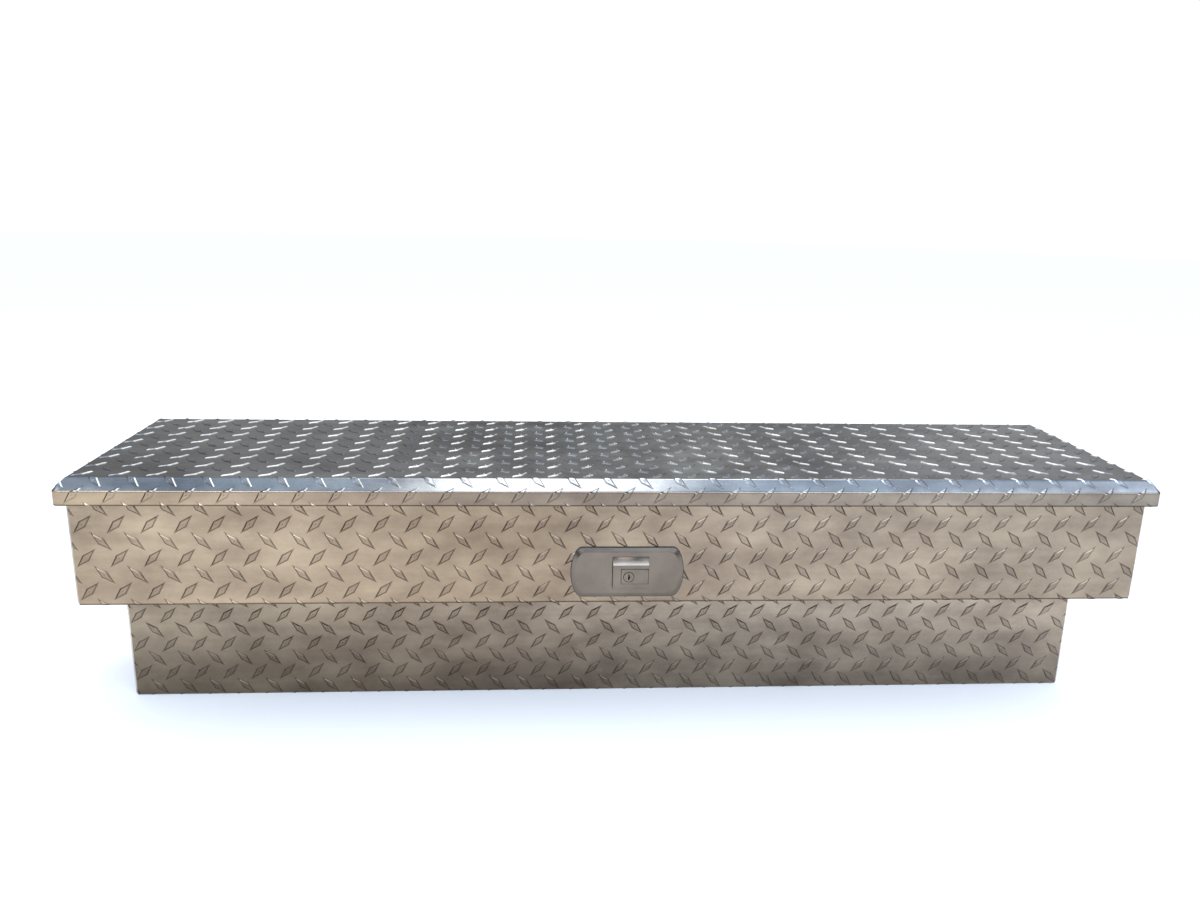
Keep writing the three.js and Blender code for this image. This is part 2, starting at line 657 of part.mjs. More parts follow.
function strutCylinder(side) {
  const x = side * STRUT_X;
  const r = STRUT_TUBE_R;
  const end = STRUT_LENGTH - 34;
  const tube = strutLathe([
    [0, 10], [r, 10], [r, end], [STRUT_ROD_R + 0.5, end], [STRUT_ROD_R + 0.5, end - 5],
    [r - 1, end - 5], [r - 1, 16], [0, 16],
  ], x, 20);
  const eye = roundX(foot[0], foot[1], 7, x - 4, x + 4);
  const neck = strutLathe([[0, 2], [4, 2], [4, 11], [0, 11]], x, 16);
  return cut(join(tube, eye, neck), roundX(foot[0], foot[1], STUD_R + GAP, x - 6, x + 6));
}

function strutRod(side) {
  const x = side * STRUT_X;
  const r = STRUT_ROD_R;
  const shaft = strutLathe([
    [0, 20], [STRUT_TUBE_R - 1.5, 20], [STRUT_TUBE_R - 1.5, 30], [r, 30], [r, STRUT_LENGTH - 2],
    [0, STRUT_LENGTH - 2],
  ], x, 16);
  const neck = strutLathe([
    [0, STRUT_LENGTH - 24], [5, STRUT_LENGTH - 24], [5, STRUT_LENGTH - 6.5], [0, STRUT_LENGTH - 6.5],
  ], x, 16);
  const eye = roundX(head[0], head[1], 7, x - 4, x + 4);
  return cut(join(shaft, neck, eye), roundX(head[0], head[1], STUD_R + GAP, x - 6, x + 6));
}

function stud(y, z, x0, x1, headX0, headX1) {
  return join(roundX(y, z, STUD_R, x0, x1), roundX(y, z, STUD_R + 1.8, headX0, headX1));
}

// the tub's bracket stands off the end cap and carries a stud that points inwards
function tubStrutBracket(side) {
  const wallX = TUB_HALF - SHEET - GAP;
  const legX = STRUT_X + 8;
  const plate = block(wallX - 2, wallX, foot[0] - 15, foot[0] + 15, foot[1] - 30, foot[1] + 12);
  const shelf = block(legX, wallX, foot[0] - 15, foot[0] + 15, foot[1] - 12, foot[1] - 10);
  const leg = block(legX, legX + 2.5, foot[0] - 15, foot[0] + 15, foot[1] - 12, foot[1] + 12);
  const pin = stud(foot[0], foot[1], STRUT_X - 7, legX + 1, STRUT_X - 6.5, STRUT_X - 4.4);
  const whole = join(plate, shelf, leg, pin);
  return side > 0 ? whole : whole.mirror([1, 0, 0]);
}

function lidStrutBracket(side) {
  const top = LID_TOP - SHEET - GAP;
  const legX = STRUT_X - 10.5;
  const base = block(legX - 22, legX + 2.5, head[0] - 18, head[0] + 18, top - 2, top);
  const leg = block(legX, legX + 2.5, head[0] - 12, head[0] + 12, head[1] - 8, top);
  const pin = stud(head[0], head[1], legX + 1, STRUT_X + 7, STRUT_X + 4.4, STRUT_X + 6.5);
  const whole = join(base, leg, pin);
  return side > 0 ? whole : whole.mirror([1, 0, 0]);
}

// ---------- assembly ----------
const group = new THREE.Group();
const add = (name, body, material) => group.add(meshOf(name, body, material));

add("front_panel", frontPanel(), TREAD);
add("step_panel", stepPanel(), TREAD);
add("floor_panel", floorPanel(), TREAD);
add("back_panel", backPanel(), TREAD);
add("rim_seal", rimSeal(), RUBBER);
add("lid_skin", lidSkin(), TREAD);
add("lid_stiffener", lidStiffener(), TREAD);
add("hinge_spacer", hingeSpacer(), STAINLESS);
add("hinge_leaf_tub", hingeLeaf(0, 345, HINGE_Z), STAINLESS);
add("hinge_leaf_lid", hingeLeaf(1, HINGE_Z, 392), STAINLESS);
add("hinge_pin", hingePin(), STAINLESS);
add("latch_gasket", latchGasket(), RUBBER);
add("latch_pan", latchPan(), STAINLESS);
add("button_housing", buttonHousing(), STAINLESS);
add("push_button", pushButton(), STAINLESS);
add("lock_cylinder", lockCylinder(), STAINLESS);
add("gear_plate", gearPlate(), ZINC);

for (const [side, hand] of [[-1, "left"], [1, "right"]]) {
  add(`end_cap_${hand}`, endCap(side), TREAD);
  add(`crank_pin_${hand}`, crankPin(side), ZINC);
  add(`crank_${hand}`, crank(side), ZINC);
  add(`rod_${hand}`, rod(side), ZINC);
  add(`rod_guide_${hand}`, rodGuide(side), BLACK_STEEL);
  add(`latch_body_${hand}`, latchBody(side), ZINC);
  add(`latch_rear_plate_${hand}`, latchRearPlate(side), ZINC);
  add(`claw_pin_${hand}`, latchPin(side, CLAW.dx, STRIKER_Z, 4), ZINC);
  add(`pawl_pin_${hand}`, latchPin(side, PAWL.dx, PAWL.z, 3), ZINC);
  add(`claw_${hand}`, claw(side), ZINC);
  add(`pawl_${hand}`, pawl(side), ZINC);
  add(`striker_${hand}`, striker(side), ZINC);
  add(`strut_bracket_tub_${hand}`, tubStrutBracket(side), ZINC);
  add(`strut_bracket_lid_${hand}`, lidStrutBracket(side), ZINC);
  add(`strut_cylinder_${hand}`, strutCylinder(side), BLACK_STEEL);
  add(`strut_rod_${hand}`, strutRod(side), STAINLESS);
}

export default group;
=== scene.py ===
# Looks of the side-rail truck tool box: rolled tread plate, stainless lock, seal, hinge and gear.
import json
import math
import bmesh
import bpy
import numpy as np
from mathutils import Matrix, Vector
from mathutils.bvhtree import BVHTree
from mathutils.geometry import delaunay_2d_cdt

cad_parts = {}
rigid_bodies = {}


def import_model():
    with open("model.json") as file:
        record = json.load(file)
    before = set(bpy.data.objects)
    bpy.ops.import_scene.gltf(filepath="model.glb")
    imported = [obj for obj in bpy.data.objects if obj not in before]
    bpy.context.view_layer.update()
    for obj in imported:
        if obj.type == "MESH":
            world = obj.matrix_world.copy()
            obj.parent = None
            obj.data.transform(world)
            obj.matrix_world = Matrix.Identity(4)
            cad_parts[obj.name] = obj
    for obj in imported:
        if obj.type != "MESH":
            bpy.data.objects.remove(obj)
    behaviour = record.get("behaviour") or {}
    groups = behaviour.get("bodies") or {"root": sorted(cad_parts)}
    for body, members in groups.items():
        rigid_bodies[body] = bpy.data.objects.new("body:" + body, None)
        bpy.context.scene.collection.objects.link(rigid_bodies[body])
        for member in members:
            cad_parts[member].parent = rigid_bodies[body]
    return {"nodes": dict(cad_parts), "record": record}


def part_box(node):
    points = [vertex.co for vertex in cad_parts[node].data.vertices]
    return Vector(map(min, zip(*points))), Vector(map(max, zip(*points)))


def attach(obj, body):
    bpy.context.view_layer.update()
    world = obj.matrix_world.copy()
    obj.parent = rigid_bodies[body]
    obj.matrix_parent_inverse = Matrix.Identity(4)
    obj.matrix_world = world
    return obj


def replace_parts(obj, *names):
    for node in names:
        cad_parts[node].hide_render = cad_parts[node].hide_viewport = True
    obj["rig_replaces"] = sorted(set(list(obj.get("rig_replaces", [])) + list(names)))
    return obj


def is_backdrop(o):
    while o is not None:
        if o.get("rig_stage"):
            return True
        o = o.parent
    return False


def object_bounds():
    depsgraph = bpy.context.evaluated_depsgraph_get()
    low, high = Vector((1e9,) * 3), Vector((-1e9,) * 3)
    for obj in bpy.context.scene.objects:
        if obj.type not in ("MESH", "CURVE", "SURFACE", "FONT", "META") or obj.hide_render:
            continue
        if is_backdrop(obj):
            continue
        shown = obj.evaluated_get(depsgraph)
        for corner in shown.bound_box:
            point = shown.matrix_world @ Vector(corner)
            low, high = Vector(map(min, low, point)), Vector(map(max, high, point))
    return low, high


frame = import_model()
cad_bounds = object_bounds()
nodes = frame["nodes"]
MM = 0.001
TAU = 2 * math.pi

# ---------- driving sizes of the looks ----------
SHEET = 1.6 * MM
GAP = 0.3 * MM
LUG_HALF_LENGTH = 19 * MM
LUG_HALF_WIDTH = 5.3 * MM
LUG_HEIGHT = 1.5 * MM
TREAD_LONG = 48.9 * MM
TREAD_SHORT = 44.4 * MM
LID_TREAD_LONG = 49.2 * MM
BEND_R = 2.6 * MM
LID_BEND_R = 3.2 * MM
CAP_BEND_R = 3.2 * MM
FLANGE = 20 * MM  # depth of the tub's folded flanges
RIM_FLANGE_HALF = 740.4 * MM  # half length of the flanges along the rim
LATCH_ROOM = 4 * MM  # air round the button's block in the front wall
LID_BEVEL = 15 * MM
LID_LIP = 20 * MM
CORNER_R = 9 * MM
SOFT_EDGE = 0.4 * MM  # rounding of the edges of the small hardware
# one slash lug on each sheet: its X, and then its height above the base (front and lower wall), its Y
# (lid) or its distance along the sheet (back and floor)
FRONT_SLASH = (-740.8 * MM, 340.2 * MM)
LOWER_SLASH = (-743 * MM, 137.3 * MM)
LID_SLASH = (-741 * MM, -150 * MM)
BACK_SLASH = (-730 * MM, 60 * MM)
FLOOR_SLASH = (-735 * MM, 40 * MM)

# ---------- places taken from the frame ----------
lid_low, lid_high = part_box("lid_skin")
front_low, front_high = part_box("front_panel")
step_low, step_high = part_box("step_panel")
back_low, back_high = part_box("back_panel")
floor_low, floor_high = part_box("floor_panel")
cap_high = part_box("end_cap_right")[1]
PANEL_Y = front_low.y
STEP_Z = front_low.z
RIM_Z = front_high.z
BACK_Y = back_high.y
LOWER_Y = floor_low.y - FLANGE - GAP
PANEL_HALF = front_high.x
CAP_X = cap_high.x


# ---------- materials ----------
class Paint:
    """A node material with its Principled shader and helpers to wire procedural detail into it."""

    def __init__(self, name, color, metallic, roughness):
        self.material = bpy.data.materials.new(name)
        self.material.use_nodes = True
        self.tree = self.material.node_tree
        self.shader = self.tree.nodes["Principled BSDF"]
        self.set("Base Color", (*color, 1))
        self.set("Metallic", metallic)
        self.set("Roughness", roughness)

    def set(self, socket, value):
        self.shader.inputs[socket].default_value = value

    def node(self, kind, **settings):
        made = self.tree.nodes.new(kind)
        for key, value in settings.items():
            setattr(made, key, value)
        return made

    def link(self, source, target):
        self.tree.links.new(source, target)

    def noise(self, scale, detail=4.0, stretch=(1, 1, 1), roughness=0.5):
        where = self.node("ShaderNodeTexCoord")
        mapping = self.node("ShaderNodeMapping")
        mapping.inputs["Scale"].default_value = stretch
        made = self.node("ShaderNodeTexNoise")
        made.inputs["Scale"].default_value = scale
        made.inputs["Detail"].default_value = detail
        made.inputs["Roughness"].default_value = roughness
        self.link(where.outputs["Object"], mapping.inputs["Vector"])
        self.link(mapping.outputs["Vector"], made.inputs["Vector"])
        return made.outputs["Fac"]

    def ramp(self, source, stops, blend="LINEAR"):
        made = self.node("ShaderNodeValToRGB")
        made.color_ramp.interpolation = blend
        points = made.color_ramp.elements
        while len(points) < len(stops):
            points.new(0.5)
        for point, (place, color) in zip(points, stops):
            point.position = place
            point.color = (*color, 1) if len(color) == 3 else color
        self.link(source, made.inputs["Fac"])
        return made.outputs["Color"]

    def spread(self, source, low, high, start=0.3, end=0.7):
        made = self.node("ShaderNodeMapRange")
        made.inputs["From Min"].default_value = start
        made.inputs["From Max"].default_value = end
        made.inputs["To Min"].default_value = low
        made.inputs["To Max"].default_value = high
        self.link(source, made.inputs["Value"])
        return made.outputs["Result"]

    def mix(self, factor, first, second, blend="MIX"):
        made = self.node("ShaderNodeMix", data_type="RGBA", blend_type=blend)
        for value, place in ((factor, 0), (first, 6), (second, 7)):
            if isinstance(value, bpy.types.NodeSocket):
                self.link(value, made.inputs[place])
            else:
                made.inputs[place].default_value = value
        return made.outputs[2]

    def bump(self, source, strength, distance):
        made = self.node("ShaderNodeBump")
        made.inputs["Strength"].default_value = strength
        made.inputs["Distance"].default_value = distance
        self.link(source, made.inputs["Height"])
        if self.shader.inputs["Normal"].is_linked:
            self.link(self.shader.inputs["Normal"].links[0].from_socket, made.inputs["Normal"])
        self.link(made.outputs["Normal"], self.shader.inputs["Normal"])


# the lugs' faces are painted darker as shade; the line round their feet and the bottom edges are darkened by
# dirt and painted shade
LUG_FACE_SHADE_TINT = (0.78, 0.77, 0.79, 1)
FOOT_SOIL_AND_SHADE_TINT = (0.28, 0.23, 0.2, 1)
EDGE_TINT = (0.2, 0.18, 0.17, 1)
FINE_BUMP = 0.3 * MM


def tread_paint(name, tones, roughness, dull=0.75, soil_and_shade_strength=0.72, lip=None, shade_base=False, dark_edge=None):
    """Rolled aluminium: tones along the length, cloudy stains and rolling lines. For the front, the lower
    wall and the lid's lip the tones are painted light, the reflections and shade along the box. dull paints
    shade on the lugs' faces, and the argument after it darkens the line round their feet with soiling and
    painted shade. lip gives the tones of the lid's turned-down edge, shade_base paints shade on a wall
    towards its foot, and dark_edge is the height of a bottom edge darkened by soiling and by painted shade of
    its gap."""
    paint = Paint(name, tones[0][1], 1.0, roughness[0])
    where = paint.node("ShaderNodeTexCoord")
    split = paint.node("ShaderNodeSeparateXYZ")
    paint.link(where.outputs["Object"], split.inputs[0])
    # tones along the length: the metal's tint, with painted reflections and shade for the front, the lower
    # wall and the lid's lip
    along = paint.spread(split.outputs["X"], 0, 1, -TONE_REACH, TONE_REACH)
    color = paint.ramp(along, tones, "B_SPLINE")
    # the lid's turned-down lip gets its own tones: painted reflections and painted shade
    if lip:
        bend = lid_low.z + LID_LIP + 1.2 * MM
        below = paint.spread(split.outputs["Z"], 1, 0, bend - 0.8 * MM, bend + 0.8 * MM)
        color = paint.mix(below, color, paint.ramp(along, lip, "B_SPLINE"))
    # painted shade: the wall is darkened towards its foot, the shade under the overhang near the ground
    if shade_base:
        near_ground = paint.spread(split.outputs["Z"], 0.6, 1, 0.0, 0.15)
        dim = paint.node("ShaderNodeVectorMath", operation="SCALE")
        paint.link(color, dim.inputs[0])
        paint.link(near_ground, dim.inputs["Scale"])
        color = dim.outputs[0]
    cloud = paint.noise(8, 5, (1, 1.4, 1.7), 0.55)
    stain = paint.noise(21, 4, (0.8, 1, 1.3), 0.6)
    rolled = paint.noise(70, 3, (0.05, 1.0, 1.6))
    for source, low, high in (
        (cloud, (0.8, 0.78, 0.76), (1.1, 1.09, 1.04)),
        (stain, (0.84, 0.81, 0.78), (1.1, 1.09, 1.04)),
        (rolled, (0.94, 0.94, 0.94), (1.02, 1.02, 1.02)),
    ):
        color = paint.mix(1.0, color, paint.ramp(source, [(0.34, low), (0.66, high)]), "MULTIPLY")
    # painted shade: the lugs' faces are made darker, standing in for the darker reflection they show
    lug_face_shade = paint.node("ShaderNodeAttribute", attribute_name="lug_top").outputs["Fac"]
    color = paint.mix(paint.spread(lug_face_shade, 0, dull, 0.7, 0.8), color, LUG_FACE_SHADE_TINT, "MULTIPLY")
    # dirt and painted shade: the line round the lugs' feet is darkened, dirt in the crease and the shade that
    # falls there
    foot_soil_and_shade = paint.node("ShaderNodeAttribute", attribute_name="lug_foot").outputs["Fac"]
    color = paint.mix(paint.spread(foot_soil_and_shade, 0, soil_and_shade_strength, 0.05, 0.45), color, FOOT_SOIL_AND_SHADE_TINT, "MULTIPLY")
    # dirt and painted shade: a band just above the bottom edge is darkened, dirt at the edge and the shade in
    # the gap there
    if dark_edge is not None:
        near_edge = paint.spread(split.outputs["Z"], 0.95, 0, dark_edge + 0.8 * MM, dark_edge + 2.4 * MM)
        color = paint.mix(near_edge, color, EDGE_TINT, "MULTIPLY")
    paint.link(color, paint.shader.inputs["Base Color"])
    paint.link(paint.spread(cloud, roughness[0], roughness[1]), paint.shader.inputs["Roughness"])
    paint.bump(rolled, 0.06, 0.0004)
    paint.bump(paint.noise(16, 3), 0.16, 0.002)
    return paint.material


def metal_paint(name, low, high, roughness, grain=(1, 1, 14)):
    """Brushed or plated metal with a directional grain and faint handling marks."""
    paint = Paint(name, high, 1.0, roughness[0])
    brushed = paint.noise(60, 4, grain)
    marks = paint.noise(18, 5)
    paint.link(paint.ramp(marks, [(0.3, low), (0.7, high)]), paint.shader.inputs["Base Color"])
    paint.link(paint.spread(brushed, *roughness), paint.shader.inputs["Roughness"])
    paint.bump(brushed, 0.05, FINE_BUMP)
    return paint.material


def soft_paint(name, low, high, roughness=(0.6, 0.85), scale=220, bump=0.25):
    """Rubber, nylon or paint: near black with a fine grain."""
    paint = Paint(name, high, 0.0, roughness[0])
    grain = paint.noise(scale, 3)
    paint.link(paint.ramp(paint.noise(25, 4), [(0.3, low), (0.7, high)]), paint.shader.inputs["Base Color"])
    paint.link(paint.spread(grain, *roughness), paint.shader.inputs["Roughness"])
    paint.bump(grain, bump, FINE_BUMP)
    return paint.material


TONE_REACH = 0.77  # the tones run from this far left of the middle to this far right
# the metal's tint with light and shade painted along the length: on the front, the lower wall and the lid's
# lip the tones are painted reflections and shade, such as the front's warm tan (a painted reflection of the
# warm ground), its dark stretch just left of the lock and the lower wall's brighter right end
FRONT_TINT_AND_PAINTED_LIGHT = [
    (0.0, (0.33, 0.26, 0.19)), (0.19, (0.39, 0.3, 0.22)), (0.38, (0.23, 0.17, 0.12)),
    (0.59, (0.3, 0.24, 0.19)), (1.0, (0.29, 0.24, 0.19)),
]
LOWER_TINT_AND_PAINTED_LIGHT = [
    (0.0, (0.27, 0.22, 0.17)), (0.19, (0.31, 0.25, 0.19)), (0.38, (0.24, 0.185, 0.145)),
    (0.59, (0.33, 0.28, 0.23)), (1.0, (0.35, 0.29, 0.24)),
]
LIP_TINT_AND_PAINTED_LIGHT = [
    (0.0, (0.39, 0.3, 0.21)), (0.22, (0.33, 0.25, 0.19)), (0.37, (0.165, 0.127, 0.1)),
    (0.6, (0.26, 0.215, 0.18)), (1.0, (0.24, 0.21, 0.18)),
]
LID_TONES = [(0.0, (0.48, 0.5, 0.53)), (0.45, (0.51, 0.53, 0.55)), (1.0, (0.49, 0.52, 0.57))]
END_TONES = [(0.0, (0.52, 0.49, 0.46)), (1.0, (0.54, 0.52, 0.49))]
MATERIALS = {
    "front": tread_paint("tread_front", FRONT_TINT_AND_PAINTED_LIGHT, (0.22, 0.34), dark_edge=STEP_Z),
    "lower": tread_paint("tread_lower", LOWER_TINT_AND_PAINTED_LIGHT, (0.22, 0.34), shade_base=True),
    "lid": tread_paint("tread_lid", LID_TONES, (0.15, 0.24), 0, 0.3, LIP_TINT_AND_PAINTED_LIGHT, dark_edge=lid_low.z),
    "end": tread_paint("tread_end", END_TONES, (0.24, 0.36)),
    "stainless": metal_paint("stainless", (0.125, 0.102, 0.08), (0.19, 0.154, 0.122), (0.14, 0.24)),
    "zinc_steel": metal_paint("zinc_steel", (0.5, 0.51, 0.52), (0.66, 0.67, 0.69), (0.3, 0.45), (1, 1, 1)),
    "chrome_rod": metal_paint("chrome_rod", (0.72, 0.72, 0.73), (0.82, 0.82, 0.83), (0.08, 0.14)),
    "black_steel": soft_paint("black_steel", (0.015, 0.015, 0.017), (0.03, 0.03, 0.032), (0.3, 0.42), 160),
    "rubber": soft_paint("rubber", (0.012, 0.012, 0.013), (0.03, 0.03, 0.03)),
    "nylon": soft_paint("nylon", (0.02, 0.02, 0.021), (0.035, 0.035, 0.036), (0.45, 0.6), 140, 0.12),
}


# ---------- the tread pattern ----------
# a lug in section, from its foot (0) to its ridge (1): a steep side and a nearly flat face
LUG_SECTION = ((0, 0), (0.35, 0.8), (1, 0.9))
LUG_SHAPE = 0.93  # 1 gives a straight-sided diamond
MARGIN = (1.05, 1.17)  # the line round a lug that soiling and painted shade darken, in lug half lengths and half widths
PEAK = (0.06, 0.2)  # the small raised point in the middle of a lug, in lug half lengths and half widths
PEAK_HEIGHT = 0.45
FOOT_FALL = 50  # how fast the soiling and painted shade at a lug's foot end up its side
LEAST_SOIL_AND_SHADE = -6  # the soiling-and-shade value in the middle of a lug; it is 0 on plain metal and 1 at a lug's foot


def lug_level(along, across):
    """0 in a lug's middle, 1 on its outline, a diamond with slightly hollow sides."""
    return (np.abs(along) ** LUG_SHAPE + np.abs(across) ** LUG_SHAPE) ** (1 / LUG_SHAPE)


def lug_half_width(along):
    return np.clip(1 - np.abs(along) ** LUG_SHAPE, 0, 1) ** (1 / LUG_SHAPE)


class Tread:
    """Two crossed lattices of lugs: a slash at each grid point and a backslash half a pitch away."""

    def __init__(self, pitch_u, pitch_v, slash_u, slash_v):
        self.pitch = np.array([pitch_u, pitch_v])
        self.origin = np.array([slash_u, slash_v])

    def lug_coordinates(self, points, backslash):
        shift = self.origin + (self.pitch / 2 if backslash else 0)
        local = points - shift
        local = local - self.pitch * np.round(local / self.pitch)
        if backslash:
            local = local * (-1, 1)
        along = (local[:, 0] + local[:, 1]) / math.sqrt(2) / LUG_HALF_LENGTH
        across = (local[:, 1] - local[:, 0]) / math.sqrt(2) / LUG_HALF_WIDTH
        return along, across

    def height(self, points):
        """Height of the pattern in lug heights, and how near each point is to the foot of a lug."""
        top = np.zeros(len(points))
        foot = np.full(len(points), float(LEAST_SOIL_AND_SHADE))
        for backslash in (False, True):
            along, across = self.lug_coordinates(points, backslash)
            level = lug_level(along, across)
            inside = np.clip(1 - level, 0, 1)
            dimple = np.clip(1 - np.abs(along) / PEAK[0] - np.abs(across) / PEAK[1], 0, 1)
            shape = np.interp(inside, *zip(*LUG_SECTION)) + PEAK_HEIGHT * dimple
            top = np.maximum(top, np.where(level < 1, shape, 0))
            to_edge = 1 - np.minimum(lug_level(along / MARGIN[0], across / MARGIN[1]), 1)
            outside = to_edge / (to_edge + np.maximum(level - 1, 0) + 1e-9)
            foot = np.maximum(foot, np.where(level < 1, 1 - inside * FOOT_FALL, outside))
        return top, foot

    def tile(self):
        """One lug with the plain metal round it, as a small mesh that fits its mirrored neighbours."""
        half = self.pitch / 2
        ring = [(half[0], 0), half * 0.68, (0, half[1]), half * (-0.32, 0.32)]
        ring = [np.array(p, float) for p in ring]
        ring += [-p for p in ring]
        points = list(ring)
        edges = [(i, (i + 1) % 8) for i in range(8)]
        stations = np.array([-1, -0.8, -0.52, -0.24, 0, 0.24, 0.52, 0.8, 1])
        width = lug_half_width(stations)
        upper = list(zip(stations, width))
        outline = np.array(upper + [(s, -w) for s, w in upper[-2:0:-1]])
        loops = [outline * MARGIN] + [outline * (1 - inside) for inside, _ in LUG_SECTION[:-1]]
        loops.append(np.array([(PEAK[0], 0), (0, PEAK[1]), (-PEAK[0], 0), (0, -PEAK[1])]))
        for loop in loops:
            start = len(points)
            for along, across in loop * (LUG_HALF_LENGTH, LUG_HALF_WIDTH):
                points.append(np.array([along - across, along + across]) / math.sqrt(2))
            edges += [(start + i, start + (i + 1) % len(loop)) for i in range(len(loop))]
        points.append(np.zeros(2))
        flat = [Vector(p) for p in points]
        verts, _, faces, *_ = delaunay_2d_cdt(flat, edges, [], 1, 1e-7)
        return np.array([tuple(v) for v in verts]), np.array(faces)

    def plane(self, low, high):
        """The whole pattern over a rectangle, as points and triangles that share their corners."""
        verts, faces = self.tile()
        points = []
        triangles = []
        kinds = ((self.origin, verts, faces), (self.origin + self.pitch / 2, verts * (-1, 1), faces[:, ::-1]))
        for shift, tile, order in kinds:
            first = np.floor((np.array(low) - shift) / self.pitch - 0.5).astype(int)
            last = np.ceil((np.array(high) - shift) / self.pitch + 0.5).astype(int)
            for i in range(first[0], last[0] + 1):
                for j in range(first[1], last[1] + 1):
                    triangles.append(order + len(points) * len(tile))
                    points.append(tile + shift + self.pitch * (i, j))
        points = np.concatenate(points)
        triangles = np.concatenate(triangles)
        rounded = np.round(points / 1e-6)
        _, first_seen, index = np.unique(rounded, axis=0, return_index=True, return_inverse=True)
        return points[first_seen], index.reshape(-1)[triangles]


# ---------- bent sheets ----------
class Profile:
    """The outer face of a bent sheet in section: straights with a rounded bend at each corner.
    The outside is to the left of the way the points run."""

    STEPS = 4

    def __init__(self, points, radius):
        points = [np.array(p, float) for p in points]
        self.parts = []
        self.breaks = []
        self.length = 0.0
        start = points[0]
        for before, corner, after in zip(points, points[1:], points[2:]):
            go = (corner - before) / np.linalg.norm(corner - before)
            turn_to = (after - corner) / np.linalg.norm(after - corner)
            turn = math.atan2(go[0] * turn_to[1] - go[1] * turn_to[0], go @ turn_to)
            trim = radius * math.tan(abs(turn) / 2)
            self._line(start, corner - go * trim, go)
            side = math.copysign(1, turn)
            centre = corner - go * trim + side * radius * np.array([-go[1], go[0]])
            self._arc(centre, go, side, radius, abs(turn))
            start = corner + turn_to * trim
        last = points[-1] - points[-2]
        self._line(start, points[-1], last / np.linalg.norm(last))

    def _line(self, start, end, go):
        size = np.linalg.norm(end - start)
        self.parts.append(("line", self.length, size, start, go))
        self.length += size

    def _arc(self, centre, go, side, radius, angle):
        size = radius * angle
        self.parts.append(("arc", self.length, size, centre, (go, side, radius)))
        self.breaks += [self.length + size * k / self.STEPS for k in range(self.STEPS + 1)]
        self.length += size

    def at(self, place):
        """Points on the face and its outward normals, at distances along it."""
        points = np.zeros((len(place), 2))
        normals = np.zeros((len(place), 2))
        for kind, begin, size, base, facts in self.parts:
            chosen = (place >= begin - 1e-9) & (place <= begin + size + 1e-9)
            run = (place[chosen] - begin)[:, None]
            if kind == "line":
                points[chosen] = base + facts * run
                normals[chosen] = (-facts[1], facts[0])
            else:
                go, side, radius = facts
                left = np.array([-go[1], go[0]])
                angle = run / radius
                normal = left * np.cos(angle) - side * go * np.sin(angle)
                points[chosen] = base - side * radius * normal
                normals[chosen] = normal
        return points, normals


WIDE_REACH = 60 * MM  # a local cut divides the faces this near to it
CORNER_REACH = 30 * MM


def cut_line(mesh, point, normal, clear=False, only=None):
    """Cuts the flat mesh along a line, and drops what lies on the normal's side if asked."""
    if only:
        faces = [f for f in mesh.faces if only(f.calc_center_median())]
        chosen = set(faces)
        chosen.update(e for f in faces for e in f.edges)
        chosen.update(v for f in faces for v in f.verts)
        geometry = list(chosen)
    else:
        geometry = mesh.verts[:] + mesh.edges[:] + mesh.faces[:]
    bmesh.ops.bisect_plane(
        mesh, geom=geometry, dist=1e-7, plane_co=(*point, 0), plane_no=(*normal, 0), clear_outer=clear,
    )


def cut_rectangle(mesh, low, high):
    for point, normal in ((low, (-1, 0)), (low, (0, -1)), (high, (1, 0)), (high, (0, 1))):
        cut_line(mesh, point, normal, clear=True)


def remove(mesh, inside):
    gone = [f for f in mesh.faces if inside(f.calc_center_median())]
    bmesh.ops.delete(mesh, geom=gone, context="FACES")


def remove_rectangle(mesh, low, high):
    near = [low[0] - WIDE_REACH, low[1] - WIDE_REACH, high[0] + WIDE_REACH, high[1] + WIDE_REACH]
    only = lambda p: near[0] < p.x < near[2] and near[1] < p.y < near[3]
    for point, normal in ((low, (-1, 0)), (low, (0, -1)), (high, (1, 0)), (high, (0, 1))):
        cut_line(mesh, point, normal, only=only)
    remove(mesh, lambda p: low[0] < p.x < high[0] and low[1] < p.y < high[1])


def flat_sheet(tread, low, high):
    points, triangles = tread.plane(low, high)
    mesh = bmesh.new()
    made = [mesh.verts.new((*p, 0)) for p in points]
    for a, b, c in triangles:
        mesh.faces.new((made[a], made[b], made[c]))
    return mesh


